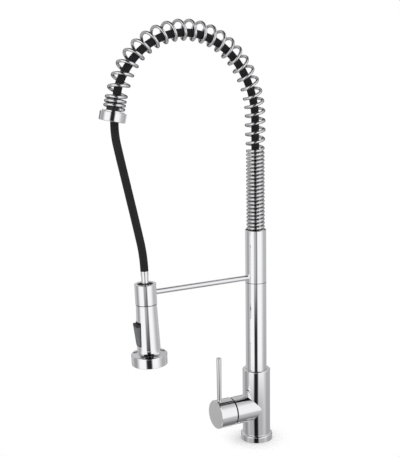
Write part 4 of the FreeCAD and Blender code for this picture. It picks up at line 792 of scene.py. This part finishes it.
def spring_distance(turn, whole):
    """How far along the spring's line a turn lies."""
    spring = settings().spring
    close_pitch, rise_pitch = spring.wire + spring.close_gap, spring.wire + spring.rise_gap
    close_run = close_pitch * (spring.close_turns + spring.end_turns)
    open_run = whole - close_run - rise_pitch * spring.rise_turns
    zones = (
        (spring.close_turns, close_pitch), (spring.rise_turns, rise_pitch),
        (spring.open_turns, open_run / spring.open_turns), (spring.end_turns, close_pitch))
    distance = 0.0
    for turns, pitch in zones:
        distance += min(turn, turns) * pitch
        turn = max(turn - turns, 0)
    return min(distance, whole)


def spring_radius(turn):
    """The spring's axis to the middle of its wire, which widens where the close turns end."""
    spring = settings().spring
    widened = min(max((turn - spring.close_turns) / spring.widening_turns, 0), 1)
    outside = spring.close_diameter + (spring.open_diameter - spring.close_diameter) * widened
    return (outside - spring.wire) / 2


def spring_points():
    """Points along the wire, which winds to the right."""
    spring = settings().spring
    line = spring_line()
    turns = spring.close_turns + spring.rise_turns + spring.open_turns + spring.end_turns
    sideways = Vector((1, 0, 0))
    points = []
    for index in range(turns * WIRE_STEPS + 1):
        turn = index / WIRE_STEPS
        middle, way = line.at(spring_distance(turn, line.length))
        inward = Vector((0, -way.z, way.y))
        swing = -math.tau * turn
        points.append(middle + (sideways * math.cos(swing) + inward * math.sin(swing)) * spring_radius(turn))
    return points


def build_spout_spring():
    wire = settings().spring.wire
    piece = bar_piece("spring_wire", spring_points(), wire / 2, WIRE_SIDES, finish_once(sprung_chrome))
    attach(piece, "spout")
    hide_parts("spout_spring")


def hose_piece(name, line):
    return bar_piece(name, line.points, settings().hose.diameter / 2, HOSE_SIDES, finish_once(hose_rubber))


def build_inner_hose():
    piece = hose_piece("hose_in_spring", hose_line())
    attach(piece, "spout")
    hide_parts("hose_inner")


def free_hose_line():
    """The hose from the collar down to its ferrule, by the corners of its route."""
    hose = settings().hose
    line = hose_line()
    start, end = line.points[-1], on_head(0, 0, FERRULE_TOP)
    corners = [start, start + line.ways[-1] * hose.first_run]
    for across, down in FREE_ROUTE:
        corners.append(Vector((0, end.y + (start.y - end.y) * across, start.z + (end.z - start.z) * down)))
    corners += [on_head(0, 0, FERRULE_TOP + hose.last_run), end]
    return Line("free_hose_line", corners, HOSE_LINE_STEPS)


def build_free_hose():
    line = free_hose_line()
    piece = hose_piece("hose_to_head", line)
    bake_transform(piece)
    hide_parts("hose_free")


# Small pieces in the spray head

def return_points():
    """Points along the return spring's wire."""
    spring = settings().spring
    travel = spring.return_end - spring.return_start
    whole = spring.return_turns * RETURN_STEPS
    points = []
    for index in range(whole + 1):
        swing = math.tau * index / RETURN_STEPS
        x, z = math.cos(swing) * spring.return_radius, math.sin(swing) * spring.return_radius
        reach = spring.return_start + travel * index / whole
        points.append(on_head(x, -reach, DIVERTER_HEIGHT + z))
    return points


def build_return_spring():
    spring = settings().spring
    wire_radius = spring.return_wire / 2
    piece = bar_piece("return_coil", return_points(), wire_radius, RETURN_SIDES, finish_once(plain_steel))
    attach(piece, "head")
    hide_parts("return_spring")
    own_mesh(piece)


def screen_wire(row, turned):
    """Points along one wire of the screen, which passes over and under those that cross it."""
    screen = settings().screen
    offset = row * screen.pitch
    half = math.sqrt(screen.radius ** 2 - offset ** 2)
    points = []
    for index in range(SCREEN_STEPS + 1):
        place = -half + 2 * half * index / SCREEN_STEPS
        lift = math.cos(math.pi * place / screen.pitch + math.pi * (row + turned)) * screen.wire_radius
        x, y = (offset, place) if turned else (place, offset)
        points.append(on_head(x, y, FACE_LOW + screen.height + lift))
    return points


def build_aerator_screen():
    """A woven screen across the aerator's mouth."""
    screen = settings().screen
    builder = bmesh.new()
    rows = int(screen.radius / screen.pitch)
    for row in range(-rows, rows + 1):
        for turned in (False, True):
            add_bar(builder, screen_wire(row, turned), screen.wire_radius, SCREEN_SIDES)
    piece = new_piece("aerator_screen", builder, finish_once(plain_steel))
    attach(piece, "head")


# Studio: bearings are in degrees from the camera's side, rises in degrees above the level

RIGHT_START = (20, 50)
RIGHT_END = (140, 170)

# The dark gap at the camera, in the round wall
GAP_LEFT = (-26, -12)
GAP_RIGHT = (9, 23)
GAP_FOOT = (-20, -12)
GAP_TOP = (-3, 4)
GAP_DARK_SIDE = (-1, 7)
GAP_DARK_SIDE_SHADE = 0.6
GAP_SHADES = (0.52, 0.98)

# The darker foot of the round wall
FOOT_SIDES = (45, 80)
FRONT_FOOT = (-29, -22)
FRONT_FOOT_SHADE = 0.55
SIDE_FOOT = (-42, -10)
SIDE_FOOT_SHADE = 0.34
STEEP_FOOT = (-60, -40)
STEEP_EASE = 0.8

# The far studio
LEFT_WALL = (54, 86)
LEFT_WALL_SHADE = 0.62
LEFT_WALL_END = (98, 118)
LEFT_WALL_EASE = 0.2
RIGHT_WALL = (54, 98)
RIGHT_WALL_SHADE = 0.5
WINDOW_FOOT = (20, 40)
WINDOW_END = (104, 116)
BACK_EAVES = (106, 114)
BACK_EAVES_DROP = math.radians(10)
FRONT_EAVES = (45, 70)
FRONT_EAVES_DROP = math.radians(24)
ROOF = (61, 66)
ROOF_SHADE = 0.96
GROUND = (-75, -24)
GROUND_SHADES = (0.15, 0.55)
HAZE = (28, 62)
HAZE_END = (100, 116)
HAZE_SHADE = 0.5
SKYLINE_START = (112, 132)
SKYLINE_FOOT = (-9, -4)
SKYLINE_TOP = (7, 13)
SKYLINE_SHADE = 0.7
BACK_START = (150, 164)
BACK_END = (172, 179)
BACK_END_EASE = 0.6
BACK_TOP = (-10, -5)
BACK_LIGHT = 0.85


def bearings(nodes, place):
    """The angle round the tap from the camera's side, and the angle above the level, of a place."""
    towards = Vector(settings().stage.camera[:2]).normalized()
    x, y, z = nodes.parts(place)
    along = x * towards.x + y * towards.y
    across = y * towards.x - x * towards.y
    away = (x * x + y * y).root()
    return across.angle(along), z.angle(away)


def rising(value, band):
    """Rises smoothly from 0 to 1 over a band of angles in degrees."""
    low, high = band
    return value.nodes.step(value, math.radians(low), math.radians(high))


def falling(value, band):
    return 1 - rising(value, band)


def right_side(bearing):
    """1 on the studio's right side, as the camera sees it."""
    return rising(bearing, RIGHT_START) * falling(bearing, RIGHT_END)


def gap_shade(bearing, rise):
    """The dark gap at the camera, darkest at its foot, its top and its right side."""
    dark_side = rising(bearing, GAP_DARK_SIDE) * GAP_DARK_SIDE_SHADE
    darkest = layered(falling(rise, GAP_FOOT), dark_side, rising(rise, GAP_TOP))
    return rising(bearing, GAP_LEFT) * falling(bearing, GAP_RIGHT) * spread(darkest, *GAP_SHADES)


def foot_shade(bearing, rise):
    """The darker foot of the round wall, lighter again straight below except on the right."""
    side = rising(abs(bearing), FOOT_SIDES)
    front_foot = falling(rise, FRONT_FOOT) * (1 - side) * FRONT_FOOT_SHADE
    side_foot = falling(rise, SIDE_FOOT) * side * SIDE_FOOT_SHADE
    steep = falling(rise, STEEP_FOOT) * (1 - right_side(bearing))
    return (front_foot + side_foot) * (1 - steep * STEEP_EASE)


def side_shade(bearing, rise):
    """The far studio's walls and skyline, with light at the back below the level."""
    turned = abs(bearing)
    left = -bearing
    left_wall = rising(left, LEFT_WALL) * LEFT_WALL_SHADE - rising(left, LEFT_WALL_END) * LEFT_WALL_EASE
    window = rising(rise, WINDOW_FOOT) * falling(bearing, WINDOW_END)
    right_wall = rising(bearing, RIGHT_WALL) * RIGHT_WALL_SHADE * (1 - window)
    skyline_band = rising(rise, SKYLINE_FOOT) * falling(rise, SKYLINE_TOP)
    skyline = rising(turned, SKYLINE_START) * skyline_band * SKYLINE_SHADE
    back = rising(turned, BACK_START) * (1 - rising(turned, BACK_END) * BACK_END_EASE)
    light = back * falling(rise, BACK_TOP) * BACK_LIGHT
    return layered(left_wall + right_wall, skyline) * (1 - light)


def studio_shade(nodes):
    """How much darker than white the far studio is in each direction."""
    bearing, rise = bearings(nodes, nodes.add("ShaderNodeTexCoord", output="Generated"))
    turned = abs(bearing)
    eaves = rising(turned, BACK_EAVES) * BACK_EAVES_DROP + falling(turned, FRONT_EAVES) * FRONT_EAVES_DROP
    roof = rising(rise + eaves, ROOF) * ROOF_SHADE
    ground = falling(rise, GROUND) * spread(right_side(bearing), *GROUND_SHADES)
    haze = rising(rise, HAZE) * falling(turned, HAZE_END) * HAZE_SHADE
    return layered(side_shade(bearing, rise), roof, ground, haze)


def add_world():
    """White surround; what shines also shows the studio's roof, ground and walls."""
    world = bpy.data.worlds.new("studio")
    bpy.context.scene.world = world
    nodes = Nodes(world)
    white = (1, 1, 1)
    glossy_ray = nodes.ray("Glossy")
    shown = nodes.ray("Camera") + glossy_ray + nodes.ray("Transmission")
    strength = 1 - glossy_ray * studio_shade(nodes)
    surround = nodes.add("ShaderNodeBackground", {}, {"Color": white, "Strength": strength})
    light = nodes.add("ShaderNodeBackground", {}, {"Color": white, "Strength": settings().stage.white})
    nodes.output(nodes.blend(shown, light, surround), "World")


def add_studio_wall():
    """A round wall that only what shines can show: darker below, with a dark gap at the camera."""
    stage = settings().stage
    builder = bmesh.new()
    bmesh.ops.create_cone(
        builder, cap_ends=True, segments=STUDIO_SIDES, radius1=stage.wall_distance,
        radius2=stage.wall_distance, depth=stage.wall_span)
    material, nodes = new_finish("studio_wall")
    bearing, rise = bearings(nodes, nodes.place())
    shade = layered(gap_shade(bearing, rise), foot_shade(bearing, rise))
    clear = nodes.add("ShaderNodeBsdfTransparent")
    dark = nodes.add("ShaderNodeBsdfDiffuse", {}, {"Color": (0, 0, 0)})
    nodes.output(nodes.blend(shade, clear, dark))
    wall = new_piece("studio_wall", builder, material)
    wall.location.z = stage.wall_height
    for ray in ("camera", "diffuse", "transmission", "volume_scatter", "shadow"):
        setattr(wall, "visible_" + ray, False)


def add_floor():
    """A round floor that keeps the tap's shadow and fades into the white surround, which metal shows."""
    stage = settings().stage
    builder = bmesh.new()
    bmesh.ops.create_circle(builder, cap_ends=True, radius=stage.floor_edge, segments=STUDIO_SIDES)
    material, nodes = new_finish("floor")
    x, y = nodes.parts(nodes.place())[:2]
    fade = nodes.step((x * x + y * y).root(), stage.floor_fade, stage.floor_size)
    matt = nodes.add("ShaderNodeBsdfDiffuse", {}, {"Color": stage.floor})
    clear = nodes.add("ShaderNodeBsdfTransparent")
    nodes.output(nodes.blend(layered(fade, nodes.ray("Glossy")), matt, clear))
    floor = new_piece("floor", builder, material)
    floor.location.z = -stage.floor_drop


def add_lamp():
    """One soft lamp above the camera's left shoulder."""
    stage = settings().stage
    data = bpy.data.lights.new("soft_lamp", "AREA")
    data.shape = "DISK"
    data.size = stage.lamp_size
    data.energy = stage.lamp_power
    lamp = bpy.data.objects.new("soft_lamp", data)
    lamp.visible_glossy = False
    lamp.location = stage.lamp
    aim = Vector(stage.lamp_aim) - lamp.location
    lamp.rotation_euler = aim.to_track_quat("-Z", "Y").to_euler()
    bpy.context.scene.collection.objects.link(lamp)


def add_camera():
    """The camera at the photograph's place."""
    stage = settings().stage
    data = bpy.data.cameras.new("camera")
    data.lens = stage.lens
    data.shift_x = stage.shift
    camera = bpy.data.objects.new("camera", data)
    turn = Matrix((CAMERA_RIGHT, CAMERA_UP, -CAMERA_FORWARD)).transposed().to_4x4()
    camera.matrix_world = Matrix.Translation(Vector(stage.camera)) @ turn
    bpy.context.scene.collection.objects.link(camera)
    bpy.context.scene.camera = camera


# Operators

class TapOperator:
    """What the tap's operators share: each runs its steps in order and then gives out its finishes."""

    bl_options = {"REGISTER", "UNDO"}
    steps = ()
    finishes = ()

    def execute(self, context):
        for step in self.steps:
            step()
        for make, names in self.finishes:
            dress(names, make)
        return {"FINISHED"}


class TAP_OT_stage(TapOperator, bpy.types.Operator):
    """Build the studio and the camera"""

    bl_idname = "tap.stage"
    bl_label = "Stage"
    steps = (add_world, add_studio_wall, add_lamp, add_floor, add_camera)


class TAP_OT_free_hose(TapOperator, bpy.types.Operator):
    """Build the free hose between the collar and the spray head"""

    bl_idname = "tap.free_hose"
    bl_label = "Free hose"
    steps = (build_free_hose,)


class TAP_OT_inner_hose(TapOperator, bpy.types.Operator):
    """Build the hose inside the spout's spring"""

    bl_idname = "tap.inner_hose"
    bl_label = "Hose in the spring"
    steps = (build_inner_hose,)


class TAP_OT_spout_spring(TapOperator, bpy.types.Operator):
    """Wind the spout's spring"""

    bl_idname = "tap.spout_spring"
    bl_label = "Spout spring"
    steps = (build_spout_spring,)


class TAP_OT_head_details(TapOperator, bpy.types.Operator):
    """Build the small pieces in the spray head"""

    bl_idname = "tap.head_details"
    bl_label = "Spray head details"
    steps = (build_return_spring, build_aerator_screen)


class TAP_OT_chrome_pieces(TapOperator, bpy.types.Operator):
    """Polish the chrome pieces"""

    bl_idname = "tap.chrome_pieces"
    bl_label = "Chrome pieces"
    finishes = (
        (polished_chrome, (
            "base_flange", "mixer_body", "lever_pin", "riser_tube", "upper_sleeve", "arm_rod", "head_holder",
            "spring_collar", "hose_ferrule")),
        (painted_seam_shadow_chrome, ("head_shell",)),
        (spun_chrome, ("handle_cap",)))


class TAP_OT_plastic_pieces(TapOperator, bpy.types.Operator):
    """Finish the plastic pieces"""

    bl_idname = "tap.plastic_pieces"
    bl_label = "Plastic pieces"
    finishes = (
        (black_plastic, (
            "joint_ring", "guide_bush", "trigger_bezel", "dome_cover", "head_core", "cartridge_base",
            "cartridge_housing", "rotor", "disc_carrier", "head_nut")),
        (grey_plastic, ("screw_plug", "spray_face", "check_valve", "aerator")),
        (pale_plastic, ("lower_swivel_bush", "upper_swivel_bush", "holder_liner")),
        (trigger_plastic, ("trigger",)))


class TAP_OT_inner_pieces(TapOperator, bpy.types.Operator):
    """Finish the seals, fittings, pins and valve discs"""

    bl_idname = "tap.inner_pieces"
    bl_label = "Inner pieces"
    finishes = (
        (seal_rubber, ("base_gasket", "swivel_seals", "port_seals", "hose_washer", "nozzle_plate")),
        (turned_brass, ("cartridge_nut", "hose_tail", "stem")),
        (plain_steel, ("swivel_screw", "set_screw", "stem_pin", "trigger_pin", "diverter_pin")),
        (lapped_ceramic, ("fixed_disc", "moving_disc")))


OPERATORS = (
    TAP_OT_stage, TAP_OT_free_hose, TAP_OT_inner_hose, TAP_OT_spout_spring, TAP_OT_head_details,
    TAP_OT_chrome_pieces, TAP_OT_plastic_pieces, TAP_OT_inner_pieces)


class TAP_PT_panel(bpy.types.Panel):
    """Lists the tap's pieces and settings"""

    bl_idname = "TAP_PT_panel"
    bl_label = "Mixer tap"
    bl_space_type = "VIEW_3D"
    bl_region_type = "UI"
    bl_category = "Tap"

    def draw(self, context):
        for operator in OPERATORS:
            self.layout.operator(operator.bl_idname)
        tap = context.scene.tap
        for group in (tap.arch, tap.spring, tap.hose, tap.screen, tap.finish, tap.stage):
            box = self.layout.box()
            for name in group.__annotations__:
                box.prop(group, name)


CLASSES = (
    TapArchSettings, TapSpringSettings, TapHoseSettings, TapScreenSettings, TapFinishSettings,
    TapStageSettings, TapSettings, *OPERATORS, TAP_PT_panel)


def register():
    for each in CLASSES:
        bpy.utils.register_class(each)
    bpy.types.Scene.tap = PointerProperty(type=TapSettings)


def unregister():
    del bpy.types.Scene.tap
    for each in reversed(CLASSES):
        bpy.utils.unregister_class(each)


def main():
    register()
    bpy.context.scene.view_settings.view_transform = "Standard"
    bpy.ops.tap.stage()
    bpy.ops.tap.free_hose()
    bpy.ops.tap.inner_hose()
    bpy.ops.tap.spout_spring()
    bpy.ops.tap.head_details()
    bpy.ops.tap.chrome_pieces()
    bpy.ops.tap.plastic_pieces()
    bpy.ops.tap.inner_pieces()


if __name__ == "__main__":
    main()
